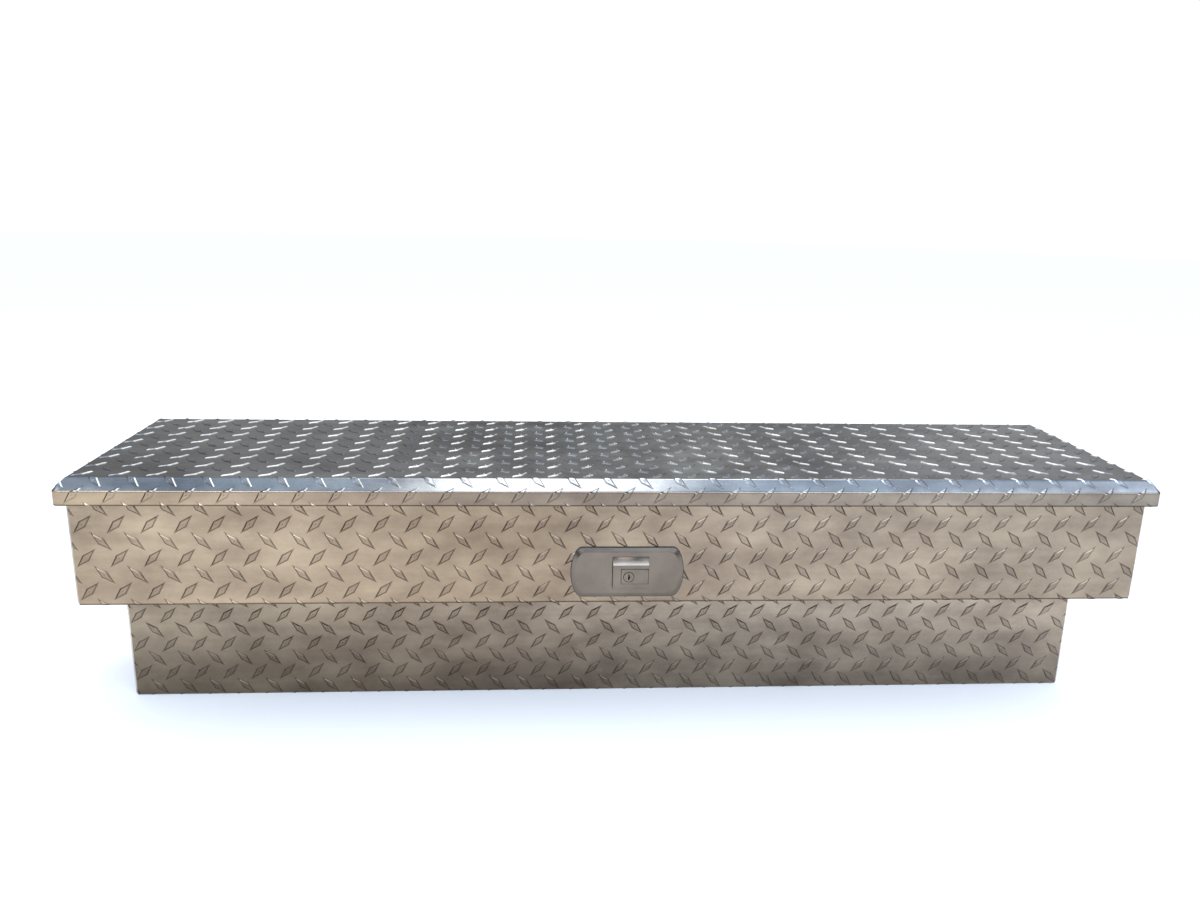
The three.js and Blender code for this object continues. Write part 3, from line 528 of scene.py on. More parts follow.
def thicken(mesh, tread, place, folds, fade=None):
    """Turns the cut flat pattern into a closed solid sheet. place maps flat points and heights to space,
    and folds are the (start, end) lines that the plain inner face has to follow."""
    tree = BVHTree.FromBMesh(mesh)

    def has_metal(point):
        return tree.find_nearest((point[0], point[1], 0))[3] < 1e-6

    loose = [v for v in mesh.verts if not v.link_faces]
    bmesh.ops.delete(mesh, geom=loose, context="VERTS")
    mesh.verts.index_update()
    mesh.faces.ensure_lookup_table()
    flat = np.array([v.co[:2] for v in mesh.verts])
    faces = [[v.index for v in f.verts] for f in mesh.faces]
    if mesh.faces and mesh.faces[0].normal.z < 0:
        faces = [face[::-1] for face in faces]
    border = [tuple(v.index for v in e.verts) for e in mesh.edges if len(e.link_faces) == 1]
    rim = sorted({i for edge in border for i in edge})
    slot_of = {vert: k for k, vert in enumerate(rim)}
    rim_edges = [(slot_of[a], slot_of[b]) for a, b in border]
    lines = list(rim_edges)
    rim_flat = flat[rim]
    for start, end in folds:
        start = np.array(start)
        along = np.array(end) - start
        size = np.linalg.norm(along)
        along = along / size
        offset = (rim_flat - start) @ np.array([-along[1], along[0]])
        run = (rim_flat - start) @ along
        on_line = [k for k in np.argsort(run) if abs(offset[k]) < 2e-6 and -1e-6 < run[k] < size + 1e-6]
        for a, b in zip(on_line, on_line[1:]):
            if has_metal((rim_flat[a] + rim_flat[b]) / 2):
                lines.append((int(a), int(b)))
    verts, _, inner, origins, *_ = delaunay_2d_cdt([Vector(p) for p in rim_flat], lines, [], 1, 1e-8)
    inner_flat = np.array([tuple(v) for v in verts])
    inner_of = {}
    for k, source in enumerate(origins):
        for one in source:
            inner_of[one] = k
    kept = [f for f in inner if has_metal(inner_flat[list(f)].mean(axis=0))]
    top, foot = tread.height(flat)
    if fade is not None:
        strength = fade(flat)
        top = top * strength
        foot = foot * strength
    outer_points = place(flat, top * LUG_HEIGHT)
    inner_points = place(inner_flat, np.full(len(inner_flat), -SHEET))
    base = len(outer_points)
    everything = faces + [[base + i for i in reversed(f)] for f in kept]
    directed = {(a, b) for face in faces for a, b in zip(face, face[1:] + face[:1])}
    for a, b in border:
        if (a, b) not in directed:
            a, b = b, a
        everything.append([b, a, base + inner_of[slot_of[a]], base + inner_of[slot_of[b]]])
    points = np.concatenate([outer_points, inner_points])
    spare = np.zeros(len(inner_points))
    mesh.free()
    return points, everything, np.concatenate([top, spare]), np.concatenate([foot, spare])


def make_object(name, points, faces, material, smooth=24):
    mesh = bpy.data.meshes.new(name)
    mesh.from_pydata([tuple(p) for p in points], [], faces)
    mesh.validate()
    mesh.polygons.foreach_set("use_smooth", [True] * len(mesh.polygons))
    mesh.set_sharp_from_angle(angle=math.radians(smooth))
    made = bpy.data.objects.new(name, mesh)
    bpy.context.scene.collection.objects.link(made)
    mesh.materials.append(material)
    return made


def finish_piece(made, body, node):
    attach(made, body)
    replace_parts(made, node)
    return made


def tread_object(name, sheet, material, body, node):
    points, faces, top, foot = sheet
    made = make_object(name, points, faces, material)
    for label, values in (("lug_top", top), ("lug_foot", foot)):
        attribute = made.data.attributes.new(label, "FLOAT", "POINT")
        attribute.data.foreach_set("value", np.asarray(values, np.float32))
    return finish_piece(made, body, node)


# ---------- long panels of the tub ----------
def drawn_along_x(profile):
    """Flat point (x, distance along the profile) and height to a point in space."""
    def place(flat, height):
        points, normals = profile.at(flat[:, 1])
        section = points + normals * height[:, None]
        return np.column_stack([flat[:, 0], section])
    return place


def bent_panel(name, node, points, tread, material, trims=()):
    """A long sheet bent along X. trims are flat rectangles to leave out."""
    profile = Profile(points, BEND_R)
    low = (-PANEL_HALF, 0)
    high = (PANEL_HALF, profile.length)
    flat = flat_sheet(tread(profile), low, high)
    cut_rectangle(flat, low, high)
    for bend in profile.breaks:
        cut_line(flat, (0, bend), (0, 1))
    for corner_low, corner_high in trims:
        remove_rectangle(flat, corner_low(profile), corner_high(profile))
    folds = [((low[0], bend), (high[0], bend)) for bend in profile.breaks]
    sheet = thicken(flat, tread(profile), drawn_along_x(profile), folds)
    return tread_object(name, sheet, material, "tub", node)


def make_front_panel():
    flange = front_high.y - front_low.y
    trim = PANEL_HALF - RIM_FLANGE_HALF
    hole_low, hole_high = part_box("button_housing")
    cut_low = (hole_low.x - LATCH_ROOM, hole_low.z - LATCH_ROOM - STEP_Z)
    cut_high = (hole_high.x + LATCH_ROOM, hole_high.z + LATCH_ROOM - STEP_Z)
    points = [(PANEL_Y, STEP_Z), (PANEL_Y, RIM_Z), (PANEL_Y + flange, RIM_Z)]
    trims = [
        (lambda p: cut_low, lambda p: cut_high),
        (lambda p: (-PANEL_HALF - 1, p.breaks[-1]), lambda p: (-PANEL_HALF + trim, p.length + 1)),
        (lambda p: (PANEL_HALF - trim, p.breaks[-1]), lambda p: (PANEL_HALF + 1, p.length + 1)),
    ]
    tread = lambda profile: Tread(TREAD_SHORT, TREAD_LONG, FRONT_SLASH[0], FRONT_SLASH[1] - STEP_Z)
    return bent_panel("front_panel_sheet", "front_panel", points, tread, MATERIALS["front"], trims)


def make_step_panel():
    flange_y = step_low.y
    points = [
        (LOWER_Y + FLANGE, 0), (LOWER_Y, 0), (LOWER_Y, STEP_Z), (flange_y, STEP_Z), (flange_y, step_high.z),
    ]

    def tread(profile):
        # the lower wall starts after the bottom flange
        start = profile.breaks[Profile.STEPS] - BEND_R
        return Tread(TREAD_SHORT, TREAD_LONG, LOWER_SLASH[0], start + LOWER_SLASH[1])

    return bent_panel("step_panel_sheet", "step_panel", points, tread, MATERIALS["lower"])


def make_back_panel():
    flange = back_high.y - back_low.y
    trim = PANEL_HALF - RIM_FLANGE_HALF
    points = [(BACK_Y - flange, RIM_Z), (BACK_Y, RIM_Z), (BACK_Y, 0)]
    trims = [
        (lambda p: (-PANEL_HALF - 1, -1), lambda p: (-PANEL_HALF + trim, p.breaks[0])),
        (lambda p: (PANEL_HALF - trim, -1), lambda p: (PANEL_HALF + 1, p.breaks[0])),
    ]
    tread = lambda profile: Tread(TREAD_SHORT, TREAD_LONG, *BACK_SLASH)
    return bent_panel("back_panel_sheet", "back_panel", points, tread, MATERIALS["end"], trims)


def make_floor_panel():
    points = [(floor_high.y, floor_high.z), (floor_high.y, 0), (floor_low.y, 0)]
    tread = lambda profile: Tread(TREAD_SHORT, TREAD_LONG, *FLOOR_SLASH)
    return bent_panel("floor_panel_sheet", "floor_panel", points, tread, MATERIALS["end"])


# ---------- lid ----------
FOLD_MARGIN = 6 * MM  # how far inside the fold line a flap's profile starts
CORNER_CUTS = 6  # strips across each rounded front corner
CORNER_BARE = (4 * MM, 12 * MM)  # no lugs within the first of these of the corner, all beyond the second
LEAF_FADE = 2 * MM  # the lugs fade out over this length above the hinge leaf


def make_lid_skin():
    half = lid_high.x
    front = lid_low.y
    rear = lid_high.y
    top = lid_high.z
    fold_x = half - LID_BEVEL
    fold_y = front + LID_BEVEL
    down = Profile([
        (-FOLD_MARGIN, top), (0, top), (LID_BEVEL, top - LID_BEVEL), (LID_BEVEL, lid_low.z),
    ], LID_BEND_R)
    rear_down = Profile([(-FOLD_MARGIN, top), (0, top), (0, lid_low.z)], BEND_R)
    reach = down.length - FOLD_MARGIN
    rear_reach = rear_down.length - FOLD_MARGIN
    tread = Tread(LID_TREAD_LONG, TREAD_SHORT, *LID_SLASH)
    low = (-fold_x - reach, fold_y - reach)
    high = (fold_x + reach, rear + rear_reach)
    flat = flat_sheet(tread, low, high)
    cut_rectangle(flat, low, high)
    bevel_run = LID_BEVEL * math.sqrt(2)
    folds = []
    for bend in down.breaks:
        out = bend - FOLD_MARGIN
        cut_line(flat, (0, fold_y - out), (0, 1))
        folds.append(((-half, fold_y - out), (half, fold_y - out)))
        for side in (-1, 1):
            cut_line(flat, (side * (fold_x + out), 0), (1, 0))
            x = side * (fold_x + out)
            folds.append(((x, front), (x, rear)))
    for bend in rear_down.breaks:
        y = rear - FOLD_MARGIN + bend
        cut_line(flat, (0, y), (0, 1))
        folds.append(((-half, y), (half, y)))
    for k in range(1, CORNER_CUTS):
        inset = CORNER_R * k / CORNER_CUTS
        near_right = lambda p: p.y < fold_y and abs(p.x - half) < WIDE_REACH
        near_left = lambda p: p.y < fold_y and abs(p.x + half) < WIDE_REACH
        near_ends = lambda p: abs(p.x) > fold_x and p.y < fold_y + CORNER_REACH
        cut_line(flat, (half - inset, 0), (1, 0), only=near_right)
        cut_line(flat, (inset - half, 0), (1, 0), only=near_left)
        cut_line(flat, (0, front + inset), (0, 1), only=near_ends)
    # the corner notches: beyond both folds the net is cut along the bevels' mitre and the lips' ends
    for side in (-1, 1):
        corner = lambda p: side * p.x > fold_x - CORNER_REACH and p.y < fold_y + CORNER_REACH
        slope = LID_BEVEL / bevel_run
        cut_line(flat, (side * fold_x, fold_y), (side, slope), only=corner)
        cut_line(flat, (side * fold_x, fold_y), (side * slope, 1), only=corner)
        cut_line(flat, (side * half, 0), (1, 0), only=corner)
        cut_line(flat, (0, front), (0, 1), only=corner)

    def notched(p):
        across = abs(p.x) - fold_x
        down_by = fold_y - p.y
        if across <= 0 or down_by <= 0:
            return False
        in_front = across < min(down_by * LID_BEVEL / bevel_run, LID_BEVEL)
        in_side = down_by < min(across * LID_BEVEL / bevel_run, LID_BEVEL)
        return not (in_front or in_side)

    remove(flat, notched)
    # at the rear the lip and the side flaps end on the top's own edges
    for side in (-1, 1):
        rear_corner = lambda p: side * p.x > fold_x - CORNER_REACH and p.y > rear - CORNER_REACH
        cut_line(flat, (0, rear), (0, 1), only=rear_corner)
        cut_line(flat, (side * fold_x, 0), (1, 0), only=rear_corner)
    remove(flat, lambda p: abs(p.x) > fold_x and p.y > rear)

    def place(points, height):
        x, y = points[:, 0], points[:, 1]
        result = np.column_stack([x, y, top + height])
        in_front = (y < fold_y + FOLD_MARGIN) & (np.abs(x) - fold_x <= np.maximum(fold_y - y, 0))
        section, normal = down.at(np.clip(fold_y - y + FOLD_MARGIN, 0, down.length))
        bent = section + normal * height[:, None]
        result[in_front] = np.column_stack([x, fold_y - bent[:, 0], bent[:, 1]])[in_front]
        section, normal = down.at(np.clip(np.abs(x) - fold_x + FOLD_MARGIN, 0, down.length))
        bent = section + normal * height[:, None]
        on_side = (np.abs(x) > fold_x - FOLD_MARGIN) & ~in_front & (y <= rear + 1e-6)
        result[on_side] = np.column_stack([np.sign(x) * (fold_x + bent[:, 0]), y, bent[:, 1]])[on_side]
        section, normal = rear_down.at(np.clip(y - rear + FOLD_MARGIN, 0, rear_down.length))
        bent = section + normal * height[:, None]
        behind = (y > rear - FOLD_MARGIN) & ~on_side
        result[behind] = np.column_stack([x, rear + bent[:, 0], bent[:, 1]])[behind]
        return round_corners(result)

    def round_corners(points):
        centre_x = half - CORNER_R
        centre_y = front + CORNER_R
        dx = (np.abs(points[:, 0]) - centre_x) / CORNER_R
        dy = (centre_y - points[:, 1]) / CORNER_R
        near = (dx > 0) & (dy > 0)
        dx, dy = dx[near], dy[near]
        scale = np.maximum(dx, dy) / np.hypot(dx, dy)
        side = np.sign(points[near, 0])
        points[near, 0] = side * (centre_x + CORNER_R * dx * scale)
        points[near, 1] = centre_y - CORNER_R * dy * scale
        return points

    def fade(points):
        across = np.abs(points[:, 0]) - fold_x
        down_by = fold_y - points[:, 1]
        into_corner = np.where(down_by > across, LID_BEVEL - across, LID_BEVEL - down_by)
        flapped = np.maximum(across, down_by) > 0
        strength = np.clip((into_corner - CORNER_BARE[0]) / (CORNER_BARE[1] - CORNER_BARE[0]), 0, 1)
        # the lugs are pressed flat where the hinge leaf lies against the rear lip
        leaf_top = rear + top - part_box("hinge_leaf_lid")[1].z
        above_leaf = np.clip((leaf_top - points[:, 1]) / LEAF_FADE, 0, 1)
        return np.where(flapped, strength, 1.0) * above_leaf

    sheet = thicken(flat, tread, place, folds, fade)
    return tread_object("lid_sheet", sheet, MATERIALS["lid"], "lid", "lid_skin")


# ---------- end caps ----------
CAP_SLASH = (20 * MM, 30 * MM)  # a slash lug from the front edge and above the base
CAP_BARE = (1 * MM, 5 * MM)  # no lugs within the first of these of the bend, all beyond the second


def make_end_cap(hand, side):
    low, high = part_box(f"end_cap_{hand}")
    depth = high.x - low.x
    outer_x = side * CAP_X
    wrap = SHEET + GAP
    outline = [
        (low.y, STEP_Z + wrap), (LOWER_Y + wrap, STEP_Z + wrap), (LOWER_Y + wrap, low.z),
        (high.y, low.z), (high.y, high.z), (low.y, high.z),
    ]
    inset = [offset_corner(outline, i, CAP_BEND_R) for i in range(len(outline))]
    tread = Tread(TREAD_SHORT, TREAD_LONG, low.y + CAP_SLASH[0], CAP_SLASH[1])
    box_low = (inset[0][0], inset[3][1])
    box_high = (inset[3][0], inset[4][1])
    flat = flat_sheet(tread, box_low, box_high)
    cut_rectangle(flat, box_low, box_high)
    cut_line(flat, (inset[1][0], 0), (1, 0), only=lambda p: p.y < inset[0][1] + WIDE_REACH)
    cut_line(flat, (0, inset[0][1]), (0, 1), only=lambda p: p.x < inset[1][0] + WIDE_REACH)
    remove(flat, lambda p: p.x < inset[1][0] and p.y < inset[0][1])

    def place(points, height):
        x = outer_x + side * height
        return np.column_stack([x, points[:, 0], points[:, 1]])

    def fade(points):
        distance = outline_distance(points, inset)
        return np.clip((distance - CAP_BARE[0]) / (CAP_BARE[1] - CAP_BARE[0]), 0, 1)

    points, faces, top, foot = cap_solid(flat, tread, place, fade, inset, depth)
    if side < 0:
        faces = [face[::-1] for face in faces]
    sheet = (points, faces, top, foot)
    return tread_object(f"end_cap_{hand}_sheet", sheet, MATERIALS["end"], "tub", f"end_cap_{hand}")


def offset_corner(outline, i, inset):
    """Corner i of an outline moved inwards, the outline running with its inside on the left."""
    before, here, after = (np.array(outline[(i + k) % len(outline)]) for k in (-1, 0, 1))
    go = (here - before) / np.linalg.norm(here - before)
    then = (after - here) / np.linalg.norm(after - here)
    left = np.array([-go[1], go[0]]) + np.array([-then[1], then[0]])
    return here + left * inset / (1 + go @ then)


def outline_distance(points, outline):
    nearest = np.full(len(points), 9.0)
    for a, b in zip(outline, outline[1:] + outline[:1]):
        a, b = np.array(a), np.array(b)
        along = b - a
        share = np.clip(((points - a) @ along) / (along @ along), 0, 1)
        gap = points - (a + share[:, None] * along)
        nearest = np.minimum(nearest, np.hypot(gap[:, 0], gap[:, 1]))
    return nearest


def cap_solid(flat, tread, place, fade, inset, depth):
    """The flat face with its bend and folded flange swept round the border, inside and outside."""
    flat.verts.index_update()
    flat.faces.ensure_lookup_table()
    points2 = np.array([v.co[:2] for v in flat.verts])
    faces = [[v.index for v in f.verts] for f in flat.faces]
    if flat.faces[0].normal.z < 0:
        faces = [face[::-1] for face in faces]
    directed = {(a, b): True for face in faces for a, b in zip(face, face[1:] + face[:1])}
    border = [(a, b) for a, b in directed if (b, a) not in directed]
    following = dict(border)
    loop = [border[0][0]]
    while following[loop[-1]] != loop[0]:
        loop.append(following[loop[-1]])
    rim = points2[loop]
    outward = outward_at(rim, inset)
    rings = []
    inner_r = CAP_BEND_R - SHEET
    for k in range(1, Profile.STEPS + 1):
        angle = 0.5 * math.pi * k / Profile.STEPS
        rings.append((CAP_BEND_R * math.sin(angle), CAP_BEND_R * (1 - math.cos(angle))))
    rings.append((CAP_BEND_R, depth))
    rings.append((inner_r, depth))
    for k in range(Profile.STEPS, -1, -1):
        angle = 0.5 * math.pi * k / Profile.STEPS
        rings.append((inner_r * math.sin(angle), SHEET + inner_r * (1 - math.cos(angle))))
    top, foot = tread.height(points2)
    strength = fade(points2)
    points = [place(points2, top * strength * LUG_HEIGHT)]
    count = len(points2)
    previous = loop
    size = len(loop)
    for out, back in rings:
        ring = rim + outward * out
        points.append(place(ring, np.full(size, -back)))
        now = list(range(count, count + size))
        for i in range(size):
            j = (i + 1) % size
            faces.append([previous[i], now[i], now[j], previous[j]])
        previous = now
        count += size
    ring_edges = [(i, (i + 1) % size) for i in range(size)]
    verts, _, fill, origins, *_ = delaunay_2d_cdt([Vector(p) for p in rim], ring_edges, [], 1, 1e-8)
    back_to = {k: source[0] for k, source in enumerate(origins) if source}
    faces += [[previous[back_to[i]] for i in reversed(f)] for f in fill]
    points = np.concatenate(points)
    spare = np.zeros(len(points) - len(points2))
    flat.free()
    return points, faces, np.concatenate([top * strength, spare]), np.concatenate([foot * strength, spare])


def outward_at(rim, outline):
    """Outward direction at each border point, mitred where it sits on one of the outline's corners."""
    result = np.zeros_like(rim)
    for a, b in zip(outline, outline[1:] + outline[:1]):
        a, b = np.array(a), np.array(b)
        along = (b - a) / np.linalg.norm(b - a)
        out = np.array([along[1], -along[0]])
        near = (np.abs((rim - a) @ out) < 1e-6) & ((rim - a) @ along > -1e-6) & ((rim - b) @ along < 1e-6)
        result[near] += out
    return result


# ---------- hardware kept from the frame, with softened edges ----------
HARDWARE_SMOOTH = 35  # degrees between two faces that still shade as one


def soften(node, body, material):
    """A copy of a CAD node whose hard edges are rounded, which stands for it."""
    mesh = nodes[node].data.copy()
    mesh.name = f"{node}_soft"
    made = bpy.data.objects.new(f"{node}_soft", mesh)
    bpy.context.scene.collection.objects.link(made)
    work = bmesh.new()
    work.from_mesh(mesh)
    bmesh.ops.remove_doubles(work, verts=work.verts, dist=1e-6)
    bmesh.ops.dissolve_limit(work, angle_limit=math.radians(1), verts=work.verts, edges=work.edges)
    sharp = [e for e in work.edges if len(e.link_faces) == 2 and e.calc_face_angle(0) > math.radians(30)]
    bmesh.ops.bevel(
        work, geom=sharp, offset=SOFT_EDGE, segments=2, profile=0.5, affect="EDGES", clamp_overlap=True,
    )
    bmesh.ops.triangulate(work, faces=[f for f in work.faces if len(f.verts) > 4])
    work.to_mesh(mesh)
    work.free()
    mesh.polygons.foreach_set("use_smooth", [True] * len(mesh.polygons))
    mesh.set_sharp_from_angle(angle=math.radians(HARDWARE_SMOOTH))
    mesh.materials.clear()
    mesh.materials.append(MATERIALS[material])
    return finish_piece(made, body, node)


# ---------- the lock's cover plate ----------
PAN_HALF = 80 * MM
PAN_END = 15.5 * MM  # length of the elliptical end of the cover plate
PAN_RIM = 5.5 * MM
PAN_WALL = 1.4 * MM
PAN_END_STEPS = 12
# the sloping rim in section, from the face to the panel: shares of the rim's width and of its depth
PAN_SLOPE = ((1, 0), (0.93, 0.02), (0.86, 0.08), (0.08, 0.92), (0, 1))


def make_latch_pan():
    """The pressed cover plate: a bar with half ellipses for ends, its edge rolled back all round."""
    low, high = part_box("latch_pan")
    hole_low, hole_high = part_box("button_housing")
    middle = (low + high) / 2
    half_x = (high.x - low.x) / 2
    half_z = (high.z - low.z) / 2
    depth = high.y - low.y
    wall = PAN_WALL
    sections = [(PAN_RIM * across, depth * back) for across, back in PAN_SLOPE]
    for across, back in PAN_SLOPE[::-1]:
        sections.append((wall + (PAN_RIM - wall) * across, wall + (depth - wall) * back))
    rings = [pan_ring(middle, half_x - inset, half_z - inset, low.y + back) for inset, back in sections]
    size = len(rings[0])
    left, right = hole_low.x - GAP, hole_high.x + GAP
    bottom, top = hole_low.z - GAP, hole_high.z + GAP
    corners = [(left, bottom), (right, bottom), (right, top), (left, top)]
    holes = [[(x, y, z) for x, z in corners] for y in (low.y, low.y + wall)]
    points = [p for ring in rings + holes for p in ring]
    faces = []
    for k in range(len(rings) - 1):
        for i in range(size):
            j = (i + 1) % size
            faces.append([k * size + j, k * size + i, (k + 1) * size + i, (k + 1) * size + j])
    hole_at = len(rings) * size
    for i in range(4):
        j = (i + 1) % 4
        faces.append([hole_at + i, hole_at + j, hole_at + 4 + j, hole_at + 4 + i])
    for ring, hole, flip in ((0, hole_at, False), (len(rings) - 1, hole_at + 4, True)):
        loop = list(range(ring * size, (ring + 1) * size)) + list(range(hole, hole + 4))
        edges = [(i, (i + 1) % size) for i in range(size)]
        edges += [(size + i, size + (i + 1) % 4) for i in range(4)]
        flat = [Vector((points[i][0], points[i][2])) for i in loop]
        _, _, fill, origins, *_ = delaunay_2d_cdt(flat, edges, [], 1, 1e-8)
        back_to = [source[0] for source in origins]
        for face in fill:
            centre = sum((flat[back_to[i]] for i in face), Vector((0, 0))) / len(face)
            in_hole = left < centre.x < right and bottom < centre.y < top
            if not in_hole:
                made = [loop[back_to[i]] for i in face]
                faces.append(made[::-1] if flip else made)
    pan = make_object("latch_pan_plate", points, faces, MATERIALS["stainless"], HARDWARE_SMOOTH)
    return finish_piece(pan, "tub", "latch_pan")


def pan_ring(middle, half_x, half_z, y):
    """Points round the plate's outline at one depth, in the (x, z) plane, counter-clockwise."""
    straight = half_x - PAN_END * half_x / PAN_HALF
    ring = []
    for start, side in ((-90, 1), (90, -1)):
        for k in range(PAN_END_STEPS + 1):
            angle = math.radians(start + 180 * k / PAN_END_STEPS)
            x = middle.x + side * straight + (half_x - straight) * math.cos(angle)
            ring.append((x, y, middle.z + half_z * math.sin(angle)))
    return ring


# ---------- what the record says of a node ----------
def body_of_node(node):
    for body, members in frame["record"]["behaviour"]["bodies"].items():
        if node in members:
            return body
    raise ValueError(node)


def slot_of_node(node):
    return next(s["material_slot"] for s in frame["record"]["subparts"] if s["node"] == node)


# ---------- stage ----------
FLOOR_HALF = 40.0
FLOOR_LOW = -0.2 * MM  # just under the box's base, so that the two faces don't flicker
FLOOR_COLOR = (0.85, 0.845, 0.835)
WALL_FAR = 16.0
WALL_GLOW = (1.0, 1.0, 1.0)
WALL_SIDES = 48
FRONT_SKY = (1.3, 1.5, 1.85, 1)


def stage_object(name, points, faces, paint):
    mesh = bpy.data.meshes.new(name)
    mesh.from_pydata(points, [], faces)
    mesh.materials.append(paint.material)
    made = bpy.data.objects.new(name, mesh)
    bpy.context.scene.collection.objects.link(made)
    made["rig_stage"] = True
    return made


def make_stage():
    """A pale floor, and a pale wall far away that only the camera sees, so metal reflects the world."""
    size = FLOOR_HALF
    corners = [(-size, -size), (size, -size), (size, size), (-size, size)]
    low = FLOOR_LOW
    ground = Paint("floor", FLOOR_COLOR, 0.0, 0.8)
    stage_object("floor", [(*p, low) for p in corners], [(0, 1, 2, 3)], ground)
    sides = WALL_SIDES
    angles = [TAU * k / sides for k in range(sides)]
    ring = [(WALL_FAR * math.cos(angle), WALL_FAR * math.sin(angle)) for angle in angles]
    points = [(*p, z) for z in (low, WALL_FAR) for p in ring]
    faces = [(k, (k + 1) % sides, sides + (k + 1) % sides, sides + k) for k in range(sides)]
    pale = Paint("wall", (0, 0, 0), 0.0, 1.0)
    pale.set("Emission Color", (*WALL_GLOW, 1))
    pale.set("Emission Strength", 1.0)
    wall = stage_object("wall", points, faces, pale)
    for ray in ("diffuse", "glossy", "transmission", "volume_scatter", "shadow"):
        setattr(wall, f"visible_{ray}", False)


def area_light(name, place, target, size, power, color=(1, 1, 1)):
    light = bpy.data.lights.new(name, "AREA")
    light.shape = "RECTANGLE"
    light.size, light.size_y = size
    light.energy = power
    light.color = color
    made = bpy.data.objects.new(name, light)
    made.location = place
    made.rotation_euler = (Vector(target) - Vector(place)).to_track_quat("-Z", "Y").to_euler()
    made.visible_camera = False
    bpy.context.scene.collection.objects.link(made)
    return made


def make_lights():
    """Softboxes: one overhead that runs front to back, one over the lid, a wide one in front and one
    above the rear. The broad sky lights the floor and stays out of the metal's reflections."""
    area_light("strip", (-0.08, -0.225, 2.57), (-0.08, -0.225, 0), (0.85, 2.55), 16.5)
    area_light("over_lid", (0.4, 0.65, 2.57), (0.4, 0.65, 0), (1.3, 1.1), 14)
    area_light("front", (0.15, -2.4, 2.57), (0.15, -2.4, 0), (5.1, 1.0), 90, (0.77, 0.95, 1.2))
    area_light("rear", (0.3, 1.75, 2.4), (0, 0.1, 0.4), (2.8, 1.1), 15)
    light = bpy.data.lights.new("sky", "SUN")
    light.angle = math.radians(150)
    light.energy = 1.75
    sky = bpy.data.objects.new("sky", light)
    sky.rotation_euler = Vector((0, -0.25, 0.97)).to_track_quat("Z", "Y").to_euler()
    sky.visible_glossy = False
    bpy.context.scene.collection.objects.link(sky)
    make_world()


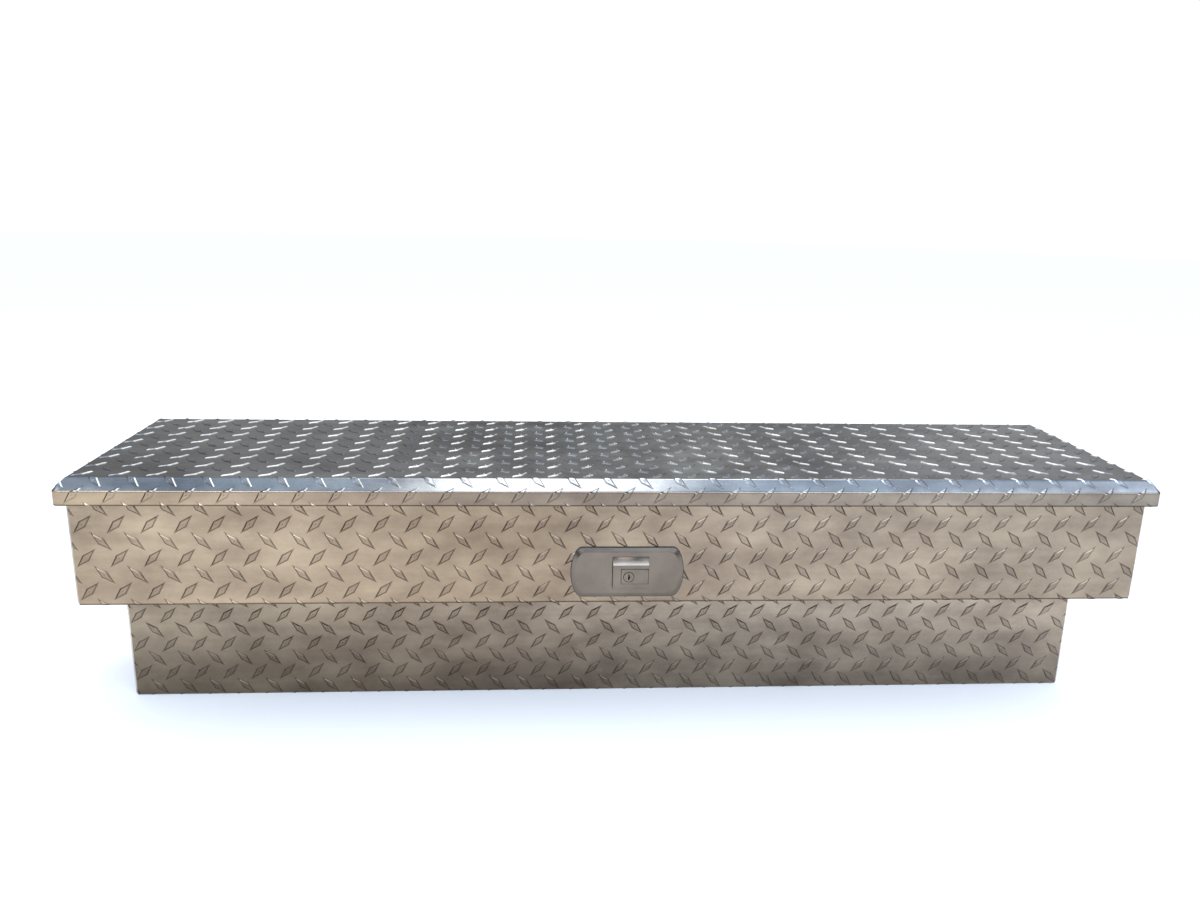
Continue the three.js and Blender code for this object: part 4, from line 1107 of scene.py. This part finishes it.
def make_world():
    """Cool overhead, bright in front above the horizon, and dim behind, to the left and to the right."""
    world = bpy.data.worlds.new("studio")
    bpy.context.scene.world = world
    world.use_nodes = True
    tree = world.node_tree

    def node(kind):
        return tree.nodes.new(kind)

    def ramp(source, stops):
        made = node("ShaderNodeValToRGB")
        points = made.color_ramp.elements
        while len(points) < len(stops):
            points.new(0.5)
        for point, (place, color) in zip(points, stops):
            point.position = place
            point.color = (*color, 1)
        tree.links.new(source, made.inputs["Fac"])
        return made.outputs["Color"]

    def spread(source, start, end, low, high):
        made = node("ShaderNodeMapRange")
        for socket, value in (("From Min", start), ("From Max", end), ("To Min", low), ("To Max", high)):
            made.inputs[socket].default_value = value
        tree.links.new(source, made.inputs["Value"])
        return made.outputs["Result"]

    def times(first, second):
        made = node("ShaderNodeMath")
        made.operation = "MULTIPLY"
        tree.links.new(first, made.inputs[0])
        tree.links.new(second, made.inputs[1])
        return made.outputs[0]

    coordinates = node("ShaderNodeTexCoord")
    split = node("ShaderNodeSeparateXYZ")
    tree.links.new(coordinates.outputs["Generated"], split.inputs[0])
    along_view = node("ShaderNodeMath")
    along_view.operation = "ABSOLUTE"
    tree.links.new(split.outputs["Y"], along_view.inputs[0])
    front_and_back = ramp(split.outputs["Z"], [
        (0.0, (0.24, 0.23, 0.22)), (0.3, (0.27, 0.27, 0.28)),
        (0.6, (0.34, 0.38, 0.45)), (0.9, (0.4, 0.5, 0.67)),
    ])
    sides = ramp(split.outputs["Z"], [
        (0.0, (0.18, 0.17, 0.16)), (0.4, (0.23, 0.23, 0.24)),
        (0.65, (0.3, 0.34, 0.41)), (0.9, (0.41, 0.51, 0.68)),
    ])
    mix = node("ShaderNodeMix")
    mix.data_type = "RGBA"
    tree.links.new(spread(along_view.outputs[0], 0.45, 0.8, 0, 1), mix.inputs[0])
    tree.links.new(sides, mix.inputs[6])
    tree.links.new(front_and_back, mix.inputs[7])
    facing = times(spread(split.outputs["Y"], 0.05, -0.4, 0, 1), spread(split.outputs["Z"], 0.05, 0.3, 0, 1))
    sky = node("ShaderNodeMix")
    sky.data_type = "RGBA"
    tree.links.new(times(facing, spread(split.outputs["Z"], 0.87, 0.8, 0, 1)), sky.inputs[0])
    tree.links.new(mix.outputs[2], sky.inputs[6])
    sky.inputs[7].default_value = FRONT_SKY
    clouds = node("ShaderNodeTexNoise")
    clouds.inputs["Scale"].default_value = 5.5
    clouds.inputs["Detail"].default_value = 3
    tree.links.new(coordinates.outputs["Generated"], clouds.inputs["Vector"])
    patchy = node("ShaderNodeVectorMath")
    patchy.operation = "SCALE"
    tree.links.new(sky.outputs[2], patchy.inputs[0])
    tree.links.new(spread(clouds.outputs["Fac"], 0.36, 0.64, 0.6, 1.45), patchy.inputs["Scale"])
    background = tree.nodes["Background"]
    tree.links.new(patchy.outputs[0], background.inputs["Color"])
    tree.links.new(spread(split.outputs["X"], -0.7, 0.7, 0.92, 1.25), background.inputs["Strength"])


# ---------- camera ----------
SENSOR = 36  # millimetres, as Blender counts a sensor
LENS = 29.0961
CAMERA_PLACE = (-0.1355, -1.45345, 0.7911)
PITCH, YAW, ROLL = 0.260, -0.074, 0.024  # radians: downwards, about Z and about the line of sight


def make_camera():
    """The view of the photograph: from the left of the middle, a little above, tilted slightly."""
    camera = bpy.data.cameras.new("camera")
    camera.sensor_width = SENSOR
    camera.lens = LENS
    camera.clip_end = 200
    turn_up = Matrix.Rotation(YAW, 3, "Z") @ Matrix.Rotation(-PITCH, 3, "X") @ Matrix.Rotation(-ROLL, 3, "Y")
    right, ahead, up = (turn_up @ Vector(axis) for axis in ((1, 0, 0), (0, 1, 0), (0, 0, 1)))
    made = bpy.data.objects.new("camera", camera)
    rotation = Matrix((right, up, -ahead)).transposed().to_4x4()
    made.matrix_world = Matrix.Translation(CAMERA_PLACE) @ rotation
    bpy.context.scene.collection.objects.link(made)
    bpy.context.scene.camera = made


# ---------- build ----------
bpy.context.scene.view_settings.view_transform = "Standard"
make_camera()
make_stage()
make_lights()
make_front_panel()
make_step_panel()
make_back_panel()
make_floor_panel()
make_lid_skin()
for hand, side in (("left", -1), ("right", 1)):
    make_end_cap(hand, side)
make_latch_pan()
replaced = {n for o in bpy.data.objects for n in o.get("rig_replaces", [])}
for name in sorted(set(nodes) - replaced):
    slot = slot_of_node(name)
    material = "zinc_steel" if slot == "tread_plate" else slot
    soften(name, body_of_node(name), material)

as_list = lambda bounds: [list(corner) for corner in bounds]
{"cad": as_list(cad_bounds), "visual": as_list(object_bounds())}
